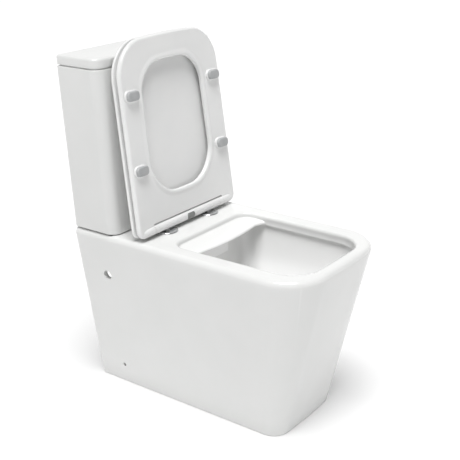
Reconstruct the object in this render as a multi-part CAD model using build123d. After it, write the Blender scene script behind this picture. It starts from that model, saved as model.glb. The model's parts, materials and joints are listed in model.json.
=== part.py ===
from build123d import *
import math
import os

# Close coupled toilet, millimetres. +Z is up, the front faces -Y and +X is on the right seen from the front
# by somebody who faces the wall. The origin is on the floor in the middle of the footprint.

# Pan
PAN_LENGTH = 640.0
PAN_HEIGHT = 420.0
PAN_TOP_WIDTH = 368.0
PAN_BASE_WIDTH = 238.0
PAN_BASE_LENGTH = 544.0
TOP_CORNER_RADIUS = 97.0
BASE_CORNER_RADIUS = 36.0
FRONT_BULGE = 5.0
BACK_CORNER_RADIUS = 5.0
RIM_RADIUS = 13.0
SKIRT_WALL = 12.0
DECK_THICKNESS = 22.0
ACCESS_HOLE_RADIUS = 12.0
ACCESS_HOLE_HEIGHT = 311.0
FLOOR_HOLE_RADIUS = 5.0
FLOOR_HOLE_HEIGHT = 52.0
SIDE_HOLE_SETBACK = 84.0

# Bowl, set out by distances from the wall plane
BOWL_REAR = 262.0
BOWL_FRONT = 606.0
BOWL_HALF_WIDTH = 144.0
BOWL_TAPER = 5.0
BOWL_CORNER_RADIUS = 52.0
BOWL_WALL = 12.0
SUMP_FLOOR = 60.0
SHELF_EDGE = 320.0
SHELF_DROP = 12.0
LIP_DEPTH = 22.0
LIP_UNDERCUT = 7.0
LIP_GROOVE = 12.0
OUTLET_HEIGHT = 180.0
OUTLET_RADIUS = 51.0
OUTLET_LENGTH = 60.0
TRAP_RADIUS = 38.0
TRAP_WALL = 10.0
TRAP_LOW = 85.0
WEIR_HEIGHT = 250.0
DUCT_HALF_WIDTH = 56.0
DUCT_HEIGHT = 54.0
DUCT_WALL = 10.0

# Cistern and its lid
CISTERN_GAP = 2.0
CISTERN_HEIGHT = 387.0
CISTERN_BASE_WIDTH = 362.0
CISTERN_TOP_WIDTH = 408.0
CISTERN_DEPTH = 126.0
CISTERN_TOP_DEPTH = 123.0
CISTERN_WALL = 9.0
CISTERN_FLOOR = 12.0
CISTERN_CORNER_RADIUS = 26.0
LID_SHADOW_GAP = 2.5
LID_THICKNESS = 22.0
VALVE_SETBACK = 61.5
FILL_VALVE_X = -130.0
FLUSH_HOLE_RADIUS = 30.0
CISTERN_BOLT_X = 80.0
BOLT_RADIUS = 4.0
BOLT_FOOT = 366.0
GASKET_RADIUS = 45.5
GASKET_SEAT_DEPTH = 16.0
LIP_HEIGHT = 10.0
NUT_HEIGHT = 10.0
WASHER_THICKNESS = 3.0

# Seat. The seat is drawn lying flat about its hinge axis and is then opened.
HINGE_SETBACK = 198.0
HINGE_RISE = 18.5
OPEN_ANGLE = 97.4
SEAT_LENGTH = 433.5
SEAT_REAR_HALF_WIDTH = 180.0
SEAT_FRONT_HALF_WIDTH = 171.0
SEAT_FRONT_RADIUS = 82.0
SEAT_REAR_RADIUS = 20.0
RING_BOTTOM = -8.0
RING_TOP = 5.5
SEAT_LID_BOTTOM = 12.0
SEAT_LID_TOP = 19.5
HINGE_RADIUS = 11.5
CUT_OUT_DEPTH = 16.5
HOUSING_HALF_LENGTH = 116.0
DAMPER_START = 88.0
DAMPER_RADIUS = 8.2
LATCH_START = 17.5
RELEASE_HALF_WIDTH = 13.6
RELEASE_HALF_HEIGHT = 7.2
RELEASE_DEPTH = 7.5
STUD_FOOT = 362.0
STUD_HOLE_RADIUS = 7.0
DISC_RADIUS = 26.0
DISC_THICKNESS = 3.5
STUD_INSERT = 12.0
KNUCKLE_SPLIT = 127.9
RING_KNUCKLE_END = 150.0
HINGE_POST_X = 77.5
POST_RADIUS = 6.0
SHAFT_RADIUS = 4.0
RUNNING_CLEARANCE = 0.05
BODY_GAP = 0.3

# Flush button and valve
BUTTON_RADIUS = 19.6
BUTTON_SPLIT_X = -3.0
SLEEVE_RADIUS = 24.0
SLEEVE_DEPTH = 34.0
SLEEVE_FLOOR = 3.0
BEZEL_RADIUS = 33.0
BEZEL_HEIGHT = 3.0
ROD_X = 15.5
ROD_RADIUS = 2.5
TUBE_RADIUS = 11.0
TUBE_TOP = 700.0
LEVER_PIVOT_Z = 637.0
LEVER_ARM = 18.0
LEVER_HALF_HEIGHT = 2.0
LEVER_GAP = 1.0
PIN_RADIUS = 1.5
CAGE_TOP = 560.0
CAGE_RADIUS = 37.0
TAIL_RADIUS = 29.0
TAIL_BORE = 25.0

# Fill valve
FILL_TAIL_RADIUS = 10.475
COLUMN_RADIUS = 14.0
COLUMN_TOP = 640.0
FILL_HEAD_HEIGHT = 28.0
FLOAT_LOW = 560.0
FLOAT_HIGH = 620.0
FLOAT_RADIUS = 38.0
FLOAT_ARM = 30.0

BACK_Y = PAN_LENGTH / 2
CISTERN_BOTTOM = PAN_HEIGHT + CISTERN_GAP
CISTERN_TOP = CISTERN_BOTTOM + CISTERN_HEIGHT
FLOOR_TOP = CISTERN_BOTTOM + CISTERN_FLOOR
LID_SLAB_BOTTOM = CISTERN_TOP + LID_SHADOW_GAP
LID_TOP = LID_SLAB_BOTTOM + LID_THICKNESS
DECK_BOTTOM = PAN_HEIGHT - DECK_THICKNESS
PAN_SPLIT = 250.0
VALVE_Y = BACK_Y - VALVE_SETBACK
HINGE_Y = BACK_Y - HINGE_SETBACK
HINGE_Z = PAN_HEIGHT + HINGE_RISE
BEZEL_TOP = LID_TOP + BEZEL_HEIGHT
SLEEVE_BOTTOM = LID_TOP - SLEEVE_DEPTH
BUTTON_BOTTOM = BEZEL_TOP - 9
BUTTON_TOP = BEZEL_TOP + 2
ROD_FOOT = LEVER_PIVOT_Z + LEVER_HALF_HEIGHT + LEVER_GAP

# Bowl below the lip: height, distances of its rear and front from the wall, half width and corner radius
BOWL_LEVELS = [
    (PAN_HEIGHT - LIP_DEPTH - LIP_GROOVE, BOWL_REAR, BOWL_FRONT, BOWL_HALF_WIDTH, BOWL_CORNER_RADIUS),
    (330.0, BOWL_REAR + 4, BOWL_FRONT - 20, BOWL_HALF_WIDTH - 11, BOWL_CORNER_RADIUS + 6),
    (240.0, BOWL_REAR + 16, BOWL_FRONT - 102, 96.0, BOWL_CORNER_RADIUS + 6),
    (160.0, BOWL_REAR + 26, BOWL_FRONT - 190, 56.0, BOWL_CORNER_RADIUS - 12),
    (SUMP_FLOOR, BOWL_REAR + 34, BOWL_FRONT - 224, 42.0, BOWL_CORNER_RADIUS - 18),
]

# Buffers, measured from the hinge axis with the seat lying flat: sideways and forwards
RING_BUFFERS = [(144.0, -312.0), (148.0, -144.0)]
LID_BUFFERS = [(138.0, -335.0), (138.0, -70.0)]

FROM_BOTTOM = (Align.CENTER, Align.CENTER, Align.MIN)
parts = {}


def from_back(distance):
    """Y of a point at a distance in front of the wall plane."""
    return BACK_Y - distance


def between(low, high, share):
    """Value at a share of the way from low to high."""
    return low + (high - low) * share


def post(x, y, z_low, z_high, radius):
    """Upright cylinder."""
    return Pos(x, y, z_low) * Cylinder(radius, z_high - z_low, align=FROM_BOTTOM)


def pipe(x, y, z_low, z_high, outer, inner):
    """Upright tube."""
    return post(x, y, z_low, z_high, outer) - post(x, y, z_low - 1, z_high + 1, inner)


def bar(x_low, x_high, y, z, radius):
    """Cylinder along X."""
    return Pos(x_low, y, z) * Rot(0, 90, 0) * Cylinder(radius, x_high - x_low, align=FROM_BOTTOM)


def block(x_low, x_high, y_low, y_high, z_low, z_high):
    """Box between two corners."""
    middle = Pos((x_low + x_high) / 2, (y_low + y_high) / 2, (z_low + z_high) / 2)
    return middle * Box(x_high - x_low, y_high - y_low, z_high - z_low)


def rounded_face(
    half_rear, half_front, rear_y, front_y, rear_radius, front_radius, bulge=0.0, rear_bulge=0.0
):
    """Flat outline with tapering sides, four rounded corners and front and rear edges that may bulge."""
    rear_left = (-half_rear, rear_y)
    rear_right = (half_rear, rear_y)
    front_left = (-half_front, front_y)
    front_right = (half_front, front_y)
    front_edge = Line(front_left, front_right)
    if bulge:
        front_edge = ThreePointArc(front_left, (0, front_y - bulge), front_right)
    rear_edge = Line(rear_right, rear_left)
    if rear_bulge:
        rear_edge = ThreePointArc(rear_right, (0, rear_y + rear_bulge), rear_left)
    edges = Line(rear_left, front_left) + front_edge + Line(front_right, rear_right) + rear_edge
    face = make_face(edges)
    middle_y = (rear_y + front_y) / 2
    if rear_radius:
        face = fillet(face.vertices().filter_by(lambda corner: corner.Y > middle_y), rear_radius)
    return fillet(face.vertices().filter_by(lambda corner: corner.Y < middle_y), front_radius)


def prism(face, z_low, z_high):
    """Upright solid of one outline."""
    return Pos(0, 0, z_low) * extrude(face, amount=z_high - z_low, dir=(0, 0, 1))


def save(name, shape):
    """Write one piece to its own file."""
    parts[name] = shape
    export_step(shape, f"parts/{name}.step")


# Pan -------------------------------------------------------------------------------------------------------


def skirt_section(z, inset, back_y, back_radius):
    """Outline of the skirt at one height, moved inwards by inset."""
    share = min(1.0, z / (PAN_HEIGHT - RIM_RADIUS))
    half_width = between(PAN_BASE_WIDTH, PAN_TOP_WIDTH, share) / 2 - inset
    length = between(PAN_BASE_LENGTH, PAN_LENGTH, share) - FRONT_BULGE - inset
    corner = between(BASE_CORNER_RADIUS, TOP_CORNER_RADIUS, share) - inset
    face = rounded_face(half_width, half_width, back_y, from_back(length), back_radius, corner, FRONT_BULGE)
    return Pos(0, 0, z) * face


def bowl_section(z, inset, rear, front, half_width, corner):
    """Level section of the bowl, moved inwards by inset, or outwards where inset is negative."""
    half_rear = half_width - inset
    half_front = half_rear - BOWL_TAPER
    face = rounded_face(
        half_rear, half_front, from_back(rear + inset), from_back(front - inset), corner * 0.62, corner, 4.0
    )
    return Pos(0, 0, z) * face


def bowl_body(inset):
    """Bowl below its lip, narrowing to the sump."""
    sections = []
    for z, rear, front, half_width, corner in reversed(BOWL_LEVELS):
        if z == SUMP_FLOOR:
            z += inset
        sections.append(bowl_section(z, inset, rear, front, half_width, corner))
    return loft(sections, ruled=True)


def trap_pipe(radius, start, end):
    """Bent waste passage from the sump over the weir to the outlet."""
    corners = [
        (0, from_back(start), TRAP_LOW),
        (0, from_back(275), TRAP_LOW),
        (0, from_back(190), WEIR_HEIGHT),
        (0, from_back(110), OUTLET_HEIGHT),
        (0, from_back(end), OUTLET_HEIGHT),
    ]
    path = FilletPolyline(*corners, radius=[60, 52, 60])
    section = Plane(origin=path @ 0, z_dir=path % 0) * Circle(radius)
    return sweep(section, path=path)


def pan_cavity():
    """Space inside the skirt, open below and at the back."""
    return loft([skirt_section(z, SKIRT_WALL, BACK_Y + 40, 0) for z in (-1, DECK_BOTTOM)], ruled=True)


def make_pan():
    """Whole ceramic pan: skirt, deck, rimless bowl, water duct, trap and outlet."""
    sections = [skirt_section(0, 0, BACK_Y, BACK_CORNER_RADIUS)]
    for angle in (0, 22.5, 45, 67.5, 90):
        z = PAN_HEIGHT - RIM_RADIUS * (1 - math.sin(math.radians(angle)))
        inset = RIM_RADIUS * (1 - math.cos(math.radians(angle)))
        sections.append(skirt_section(z, inset, BACK_Y, BACK_CORNER_RADIUS))
    skirt = loft(sections, ruled=True)
    pan = skirt - pan_cavity()
    rim_rear = from_back(BOWL_REAR - 20)
    rim_front = from_back(BOWL_FRONT + 16)
    rim_face = rounded_face(BOWL_HALF_WIDTH + 20, BOWL_HALF_WIDTH + 14, rim_rear, rim_front, 40, 84, 4)
    groove_bottom = PAN_HEIGHT - LIP_DEPTH - LIP_GROOVE
    pan += prism(rim_face, groove_bottom - 8, PAN_HEIGHT - 4)
    pan += bowl_body(-BOWL_WALL)
    pan += trap_pipe(TRAP_RADIUS + TRAP_WALL, 350, 1)
    outlet = Cylinder(OUTLET_RADIUS, OUTLET_LENGTH, align=FROM_BOTTOM)
    pan += Pos(0, BACK_Y, OUTLET_HEIGHT) * Rot(90, 0, 0) * outlet
    duct_top = DECK_BOTTOM + 1
    duct_bottom = duct_top - DUCT_HEIGHT
    duct_front = from_back(BOWL_REAR + 6)
    duct_back = from_back(8)
    pan += block(-DUCT_HALF_WIDTH, DUCT_HALF_WIDTH, duct_front, duct_back, duct_bottom, duct_top)

    lip_bottom = PAN_HEIGHT - LIP_DEPTH
    outline = (BOWL_FRONT, BOWL_HALF_WIDTH, BOWL_CORNER_RADIUS)
    pan -= prism(bowl_section(0, 0, BOWL_REAR, *outline), PAN_HEIGHT - SHELF_DROP, PAN_HEIGHT + 5)
    pan -= prism(bowl_section(0, 0, SHELF_EDGE, *outline), lip_bottom - 1, PAN_HEIGHT)
    pan -= prism(bowl_section(0, -LIP_UNDERCUT, BOWL_REAR, *outline), groove_bottom, lip_bottom)
    pan -= bowl_body(0.0)
    pan -= trap_pipe(TRAP_RADIUS, 340, -5)
    channel_half = DUCT_HALF_WIDTH - DUCT_WALL
    channel_back = duct_back - DUCT_WALL
    channel_bottom = duct_bottom + DUCT_WALL
    channel_top = duct_top - 6
    pan -= block(-channel_half, channel_half, duct_front - 2, channel_back, channel_bottom, channel_top)
    pan -= post(0, VALVE_Y, duct_top - 20, PAN_HEIGHT + 1, FLUSH_HOLE_RADIUS)
    pan -= post(0, VALVE_Y, PAN_HEIGHT - GASKET_SEAT_DEPTH, PAN_HEIGHT + 1, GASKET_RADIUS + 0.5)
    for side in (-1, 1):
        pan -= post(side * CISTERN_BOLT_X, VALVE_Y, DECK_BOTTOM - 1, PAN_HEIGHT + 1, 6)
        pan -= post(side * -FILL_VALVE_X, VALVE_Y, DECK_BOTTOM - 1, PAN_HEIGHT + 1, 22)
        pan -= post(side * HINGE_POST_X, HINGE_Y, DECK_BOTTOM - 1, PAN_HEIGHT + 1, STUD_HOLE_RADIUS)
        low, high = sorted((side * 90, side * 200))
        pan -= bar(low, high, from_back(SIDE_HOLE_SETBACK), ACCESS_HOLE_HEIGHT, ACCESS_HOLE_RADIUS)
        pan -= bar(low, high, from_back(SIDE_HOLE_SETBACK), FLOOR_HOLE_HEIGHT, FLOOR_HOLE_RADIUS)
    return pan


def save_pan():
    """The pan as four shapes that meet face to face: deck and rim, skirt, bowl, and trap with outlet."""
    pan = make_pan()
    reach = 2 * PAN_LENGTH
    lower = pan & block(-reach, reach, -reach, reach, -1, DECK_BOTTOM)
    cavity = pan_cavity()
    inside = lower & cavity
    save("pan_deck", pan & block(-reach, reach, -reach, reach, DECK_BOTTOM, PAN_HEIGHT + 1))
    save("pan_skirt", lower - cavity)
    split_y = from_back(PAN_SPLIT)
    save("pan_bowl", inside & block(-reach, reach, -reach, split_y, 0, PAN_HEIGHT))
    save("pan_trap", inside & block(-reach, reach, split_y, reach, 0, PAN_HEIGHT))


# Cistern ---------------------------------------------------------------------------------------------------


def cistern_section(z, inset, corner):
    """Outline of the cistern at one height, moved inwards by inset."""
    share = (z - CISTERN_BOTTOM) / CISTERN_HEIGHT
    half_width = between(CISTERN_BASE_WIDTH, CISTERN_TOP_WIDTH, share) / 2 - inset
    depth = between(CISTERN_DEPTH, CISTERN_TOP_DEPTH, share)
    face = rounded_face(half_width, half_width, BACK_Y - inset, from_back(depth - inset), 6, corner)
    return Pos(0, 0, z) * face


def make_cistern():
    """Open ceramic tank that widens upwards."""
    corner = CISTERN_CORNER_RADIUS
    outer = [cistern_section(z, 0, corner) for z in (CISTERN_BOTTOM, CISTERN_TOP)]
    inner = [cistern_section(z, CISTERN_WALL, corner - CISTERN_WALL) for z in (FLOOR_TOP, CISTERN_TOP + 1)]
    tank = loft(outer, ruled=True) - loft(inner, ruled=True)
    tank -= post(0, VALVE_Y, CISTERN_BOTTOM - 1, FLOOR_TOP + 1, TAIL_RADIUS + 2)
    tank -= post(FILL_VALVE_X, VALVE_Y, CISTERN_BOTTOM - 1, FLOOR_TOP + 1, 11)
    for side in (-1, 1):
        tank -= post(side * CISTERN_BOLT_X, VALVE_Y, CISTERN_BOTTOM - 1, FLOOR_TOP + 1, 5.5)
    return tank


def lid_face(inset, corner):
    """Outline of the cistern lid, moved inwards by inset."""
    half_width = CISTERN_TOP_WIDTH / 2 - inset
    front_y = from_back(CISTERN_TOP_DEPTH - inset)
    return rounded_face(half_width, half_width, BACK_Y - inset, front_y, 6, corner)


def make_cistern_lid():
    """Ceramic lid with a shadow step, a locating lip and a hole for the flush button."""
    slab = prism(lid_face(0, CISTERN_CORNER_RADIUS), LID_SLAB_BOTTOM, LID_TOP)
    slab = fillet(slab.edges().group_by(Axis.Z)[-1], 7)
    slab += prism(lid_face(4, CISTERN_CORNER_RADIUS - 4), CISTERN_TOP, LID_SLAB_BOTTOM)
    slab += prism(lid_face(CISTERN_WALL + 1.5, 16), CISTERN_TOP - LIP_HEIGHT, CISTERN_TOP)
    slab -= prism(lid_face(CISTERN_WALL + 7, 10), CISTERN_TOP - LIP_HEIGHT - 1, LID_TOP - 12)
    return slab - post(0, VALVE_Y, CISTERN_TOP, LID_TOP + 1, SLEEVE_RADIUS + 0.25)


def wing_nut(x, y, z_low, bore):
    """Nut with two wings."""
    body = post(x, y, z_low, z_low + 9, 10)
    body += block(x - 17, x + 17, y - 2.5, y + 2.5, z_low, z_low + 7)
    return body - post(x, y, z_low - 1, z_low + 10, bore)


def make_cistern_fixings():
    """Seal, bolts, washers and nuts that couple the cistern to the pan."""
    gasket_bottom = PAN_HEIGHT - GASKET_SEAT_DEPTH
    save("cistern_gasket", pipe(0, VALVE_Y, gasket_bottom, CISTERN_BOTTOM, GASKET_RADIUS, 38))
    washer_top = FLOOR_TOP + 6
    bolts, washers, plates, nuts, pads = [], [], [], [], []
    for side in (-1, 1):
        x = side * CISTERN_BOLT_X
        bolt = post(x, VALVE_Y, BOLT_FOOT, washer_top, BOLT_RADIUS)
        bolts.append(bolt + post(x, VALVE_Y, washer_top, washer_top + 5, 8))
        cone = Pos(x, VALVE_Y, FLOOR_TOP) * Cone(11, 9, washer_top - FLOOR_TOP, align=FROM_BOTTOM)
        washers.append(cone - post(x, VALVE_Y, FLOOR_TOP - 1, washer_top + 1, BOLT_RADIUS))
        plates.append(pipe(x, VALVE_Y, DECK_BOTTOM - WASHER_THICKNESS, DECK_BOTTOM, 13, BOLT_RADIUS))
        nuts.append(wing_nut(x, VALVE_Y, DECK_BOTTOM - WASHER_THICKNESS - 9, BOLT_RADIUS))
        low, high = sorted((side * 158, side * 176))
        pads.append(block(low, high, from_back(112), from_back(12), PAN_HEIGHT, CISTERN_BOTTOM))
    save("cistern_bolts", Compound(children=bolts))
    save("cistern_bolt_washers", Compound(children=washers))
    save("cistern_bolt_plates", Compound(children=plates))
    save("cistern_wing_nuts", Compound(children=nuts))
    save("cistern_pads", Compound(children=pads))


# Flush button on the cistern lid ---------------------------------------------------------------------------


def coil_spring(wire, coil, pitch, length):
    """Helical spring that stands on its end at the origin."""
    path = Helix(pitch, length - 2 * wire, coil)
    section = Plane(origin=path @ 0, z_dir=path % 0) * Circle(wire)
    return Pos(0, 0, wire) * sweep(section, path=path, is_frenet=True)


def make_flush_button():
    """Chromed dual button: sleeve, nut, two half buttons, their rods and springs."""
    sleeve = post(0, VALVE_Y, LID_TOP, BEZEL_TOP, BEZEL_RADIUS)
    sleeve += post(0, VALVE_Y, SLEEVE_BOTTOM, BEZEL_TOP, SLEEVE_RADIUS)
    sleeve = fillet(sleeve.edges().filter_by(GeomType.CIRCLE).group_by(Axis.Z)[-1], 1.5)
    floor_top = SLEEVE_BOTTOM + SLEEVE_FLOOR
    sleeve -= post(0, VALVE_Y, floor_top, BEZEL_TOP + 1, BUTTON_RADIUS + 0.4)
    for side in (-1, 1):
        guide_radius = ROD_RADIUS + RUNNING_CLEARANCE
        sleeve -= post(side * ROD_X, VALVE_Y, SLEEVE_BOTTOM - 1, floor_top + 1, guide_radius)
    save("button_bezel", sleeve)
    nut_top = LID_TOP - 12
    save("button_nut", pipe(0, VALVE_Y, nut_top - NUT_HEIGHT, nut_top, 32, SLEEVE_RADIUS))
    whole = post(0, VALVE_Y, BUTTON_BOTTOM, BUTTON_TOP, BUTTON_RADIUS)
    whole = fillet(whole.edges().group_by(Axis.Z)[-1], 1.2)
    reach = 2 * BUTTON_RADIUS
    y_span = (VALVE_Y - reach, VALVE_Y + reach)
    z_span = (BUTTON_BOTTOM - 1, BUTTON_TOP + 1)
    save("full_flush_button", whole & block(BUTTON_SPLIT_X + BODY_GAP, reach, *y_span, *z_span))
    save("half_flush_button", whole & block(-reach, BUTTON_SPLIT_X - BODY_GAP, *y_span, *z_span))
    spring = coil_spring(0.5, 3.8, 3.0, BUTTON_BOTTOM - floor_top)
    for name, x in (("full", ROD_X), ("half", -ROD_X)):
        save(f"{name}_push_rod", post(x, VALVE_Y, ROD_FOOT, BUTTON_BOTTOM, ROD_RADIUS))
        save(f"{name}_button_spring", Pos(x, VALVE_Y, floor_top) * spring)


# Flush valve -----------------------------------------------------------------------------------------------


def make_flush_valve():
    """Cage on the cistern floor, lifting overflow tube with its seal, and the two rocker levers."""
    base = FLOOR_TOP + WASHER_THICKNESS
    flange_top = base + 5
    seat_top = base + 9
    body = pipe(0, VALVE_Y, base, flange_top, 40, TAIL_BORE)
    body += pipe(0, VALVE_Y, PAN_HEIGHT - 20, flange_top, TAIL_RADIUS, TAIL_BORE)
    body += pipe(0, VALVE_Y, flange_top, seat_top, 28, TAIL_BORE)
    wall = pipe(0, VALVE_Y, flange_top, CAGE_TOP, CAGE_RADIUS, CAGE_RADIUS - 3)
    for turn in (0, 120, 240):
        wall -= Pos(0, VALVE_Y, 0) * Rot(0, 0, turn) * block(-22, 22, 0, 60, base + 12, CAGE_TOP - 18)
    body += wall
    body += pipe(0, VALVE_Y, CAGE_TOP - 6, CAGE_TOP, CAGE_RADIUS, TUBE_RADIUS + RUNNING_CLEARANCE)
    pivot_y = VALVE_Y + LEVER_ARM
    cheek_inside, cheek_outside = 19.2, 24.0
    for side in (-1, 1):
        low, high = sorted((side * cheek_inside, side * cheek_outside))
        body += block(low, high, pivot_y - 6, pivot_y + 6, CAGE_TOP - 1, LEVER_PIVOT_Z + 5)
    pin = bar(-cheek_outside, cheek_outside, pivot_y, LEVER_PIVOT_Z, PIN_RADIUS)
    save("flush_valve_body", body - pin)
    save("flush_valve_washer", pipe(0, VALVE_Y, FLOOR_TOP, base, 38, TAIL_RADIUS))
    save("flush_valve_nut", pipe(0, VALVE_Y, CISTERN_BOTTOM - NUT_HEIGHT, CISTERN_BOTTOM, 37, TAIL_RADIUS))
    save("flush_lever_pin", pin)

    seal_bottom = seat_top + BODY_GAP
    seal_top = seal_bottom + 3
    save("flush_seal", pipe(0, VALVE_Y, seal_bottom, seal_top, 31, TUBE_RADIUS))
    tube = pipe(0, VALVE_Y, seal_bottom - 5, TUBE_TOP, TUBE_RADIUS, TUBE_RADIUS - 2)
    tube += pipe(0, VALVE_Y, seal_top, seal_top + 4, 19, TUBE_RADIUS - 1)
    wing_low = LEVER_PIVOT_Z + 5
    wing_high = wing_low + 6
    wing_end = VALVE_Y + 2 * LEVER_ARM + 2
    wing = block(-8, 19, VALVE_Y + 9.5, VALVE_Y + 15, wing_low, wing_high)
    wing += block(12, 19, VALVE_Y + 9.5, wing_end, wing_low, wing_high)
    wing += block(12, 19, wing_end - 5, wing_end, ROD_FOOT, wing_low)
    save("overflow_tube", tube + wing - post(0, VALVE_Y, wing_low - 1, wing_high + 1, TUBE_RADIUS - 2))
    for name, low, high in (("full", 12.4, 18.6), ("half", -18.6, -12.4)):
        z_low, z_high = LEVER_PIVOT_Z - LEVER_HALF_HEIGHT, LEVER_PIVOT_Z + LEVER_HALF_HEIGHT
        lever = block(low, high, VALVE_Y - 3.5, wing_end, z_low, z_high)
        lever += bar(low, high, pivot_y, LEVER_PIVOT_Z, 4)
        lever -= bar(low - 1, high + 1, pivot_y, LEVER_PIVOT_Z, PIN_RADIUS + RUNNING_CLEARANCE)
        save(f"{name}_flush_lever", lever)


# Fill valve ------------------------------------------------------------------------------------------------


def cross_pin(x, y_low, y_high, z, radius):
    """Cylinder along Y."""
    return Pos(x, y_low, z) * Rot(-90, 0, 0) * Cylinder(radius, y_high - y_low, align=FROM_BOTTOM)


def make_fill_valve():
    """Bottom entry fill valve: column, head, cup float, link rod and lever."""
    x, y = FILL_VALVE_X, VALVE_Y
    base = FLOOR_TOP + WASHER_THICKNESS
    tail_foot = PAN_HEIGHT - 35
    body = post(x, y, tail_foot, base, FILL_TAIL_RADIUS)
    body += post(x, y, base, base + 4, 19) + post(x, y, base, COLUMN_TOP, COLUMN_RADIUS)
    save("fill_valve_body", body - post(x, y, tail_foot - 1, COLUMN_TOP - 4, 6))
    save("fill_valve_washer", pipe(x, y, FLOOR_TOP, base, 17, FILL_TAIL_RADIUS))
    save("fill_valve_nut", pipe(x, y, CISTERN_BOTTOM - NUT_HEIGHT, CISTERN_BOTTOM, 17, FILL_TAIL_RADIUS))
    head_top = COLUMN_TOP + FILL_HEAD_HEIGHT
    head = fillet(post(x, y, COLUMN_TOP, head_top, 20).edges().group_by(Axis.Z)[-1], 3)
    pin_z = head_top + 8
    cheek_inside, cheek_outside = 3.6, 8.0
    for side in (-1, 1):
        low, high = sorted((y + side * cheek_inside, y + side * cheek_outside))
        head += block(x - 6, x + 6, low, high, head_top - 1, pin_z + 5)
    pin = cross_pin(x, y - cheek_outside, y + cheek_outside, pin_z, PIN_RADIUS)
    save("fill_valve_head", head - pin)
    save("fill_lever_pin", pin)
    cup = pipe(x, y, FLOAT_LOW, FLOAT_HIGH, FLOAT_RADIUS, COLUMN_RADIUS + RUNNING_CLEARANCE)
    cup -= pipe(x, y, FLOAT_LOW - 2, FLOAT_HIGH - 4, FLOAT_RADIUS - 2, COLUMN_RADIUS + 3)
    save("fill_float", cup)
    save("float_link", post(x + FLOAT_ARM, y, FLOAT_HIGH, pin_z - 3.5, 2))
    lever = block(x - 6, x + FLOAT_ARM + 6, y - 3, y + 3, pin_z - 2, pin_z + 2)
    lever += cross_pin(x, y - 3, y + 3, pin_z, 4)
    save("fill_lever", lever - cross_pin(x, y - 4, y + 4, pin_z, PIN_RADIUS + RUNNING_CLEARANCE))


# Seat fixings and hinge bar --------------------------------------------------------------------------------


def make_seat_fixings():
    """Cover discs, posts, studs, rubber sleeves and nuts on the pan's deck."""
    stud_top = PAN_HEIGHT + STUD_INSERT
    collar_bottom = DECK_BOTTOM - 6
    discs, posts, studs, sleeves, nuts = [], [], [], [], []
    for side in (-1, 1):
        x = side * HINGE_POST_X
        disc = post(x, HINGE_Y, PAN_HEIGHT, PAN_HEIGHT + DISC_THICKNESS, DISC_RADIUS)
        disc = fillet(disc.edges().group_by(Axis.Z)[-1], 1.2)
        discs.append(disc - post(x, HINGE_Y, PAN_HEIGHT - 1, stud_top, POST_RADIUS))
        stub = post(x, HINGE_Y, PAN_HEIGHT, HINGE_Z + 4, POST_RADIUS)
        posts.append(stub - post(x, HINGE_Y, PAN_HEIGHT - 1, stud_top, BOLT_RADIUS))
        studs.append(post(x, HINGE_Y, STUD_FOOT, stud_top, BOLT_RADIUS))
        sleeve = post(x, HINGE_Y, DECK_BOTTOM, PAN_HEIGHT, STUD_HOLE_RADIUS - 0.1)
        sleeve += post(x, HINGE_Y, collar_bottom, DECK_BOTTOM, 13)
        sleeves.append(sleeve - post(x, HINGE_Y, collar_bottom - 1, PAN_HEIGHT + 1, BOLT_RADIUS))
        nuts.append(wing_nut(x, HINGE_Y, collar_bottom - 9, BOLT_RADIUS))
    save("hinge_discs", Compound(children=discs))
    save("hinge_posts", Compound(children=posts))
    save("seat_studs", Compound(children=studs))
    save("seat_stud_sleeves", Compound(children=sleeves))
    save("seat_stud_nuts", Compound(children=nuts))


def hinge_block(half_length, y_low, y_high, half_height):
    """Box centred on the middle of the hinge axis, with its depth measured from the axis."""
    z_span = (HINGE_Z - half_height, HINGE_Z + half_height)
    return block(-half_length, half_length, HINGE_Y + y_low, HINGE_Y + y_high, *z_span)


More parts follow.
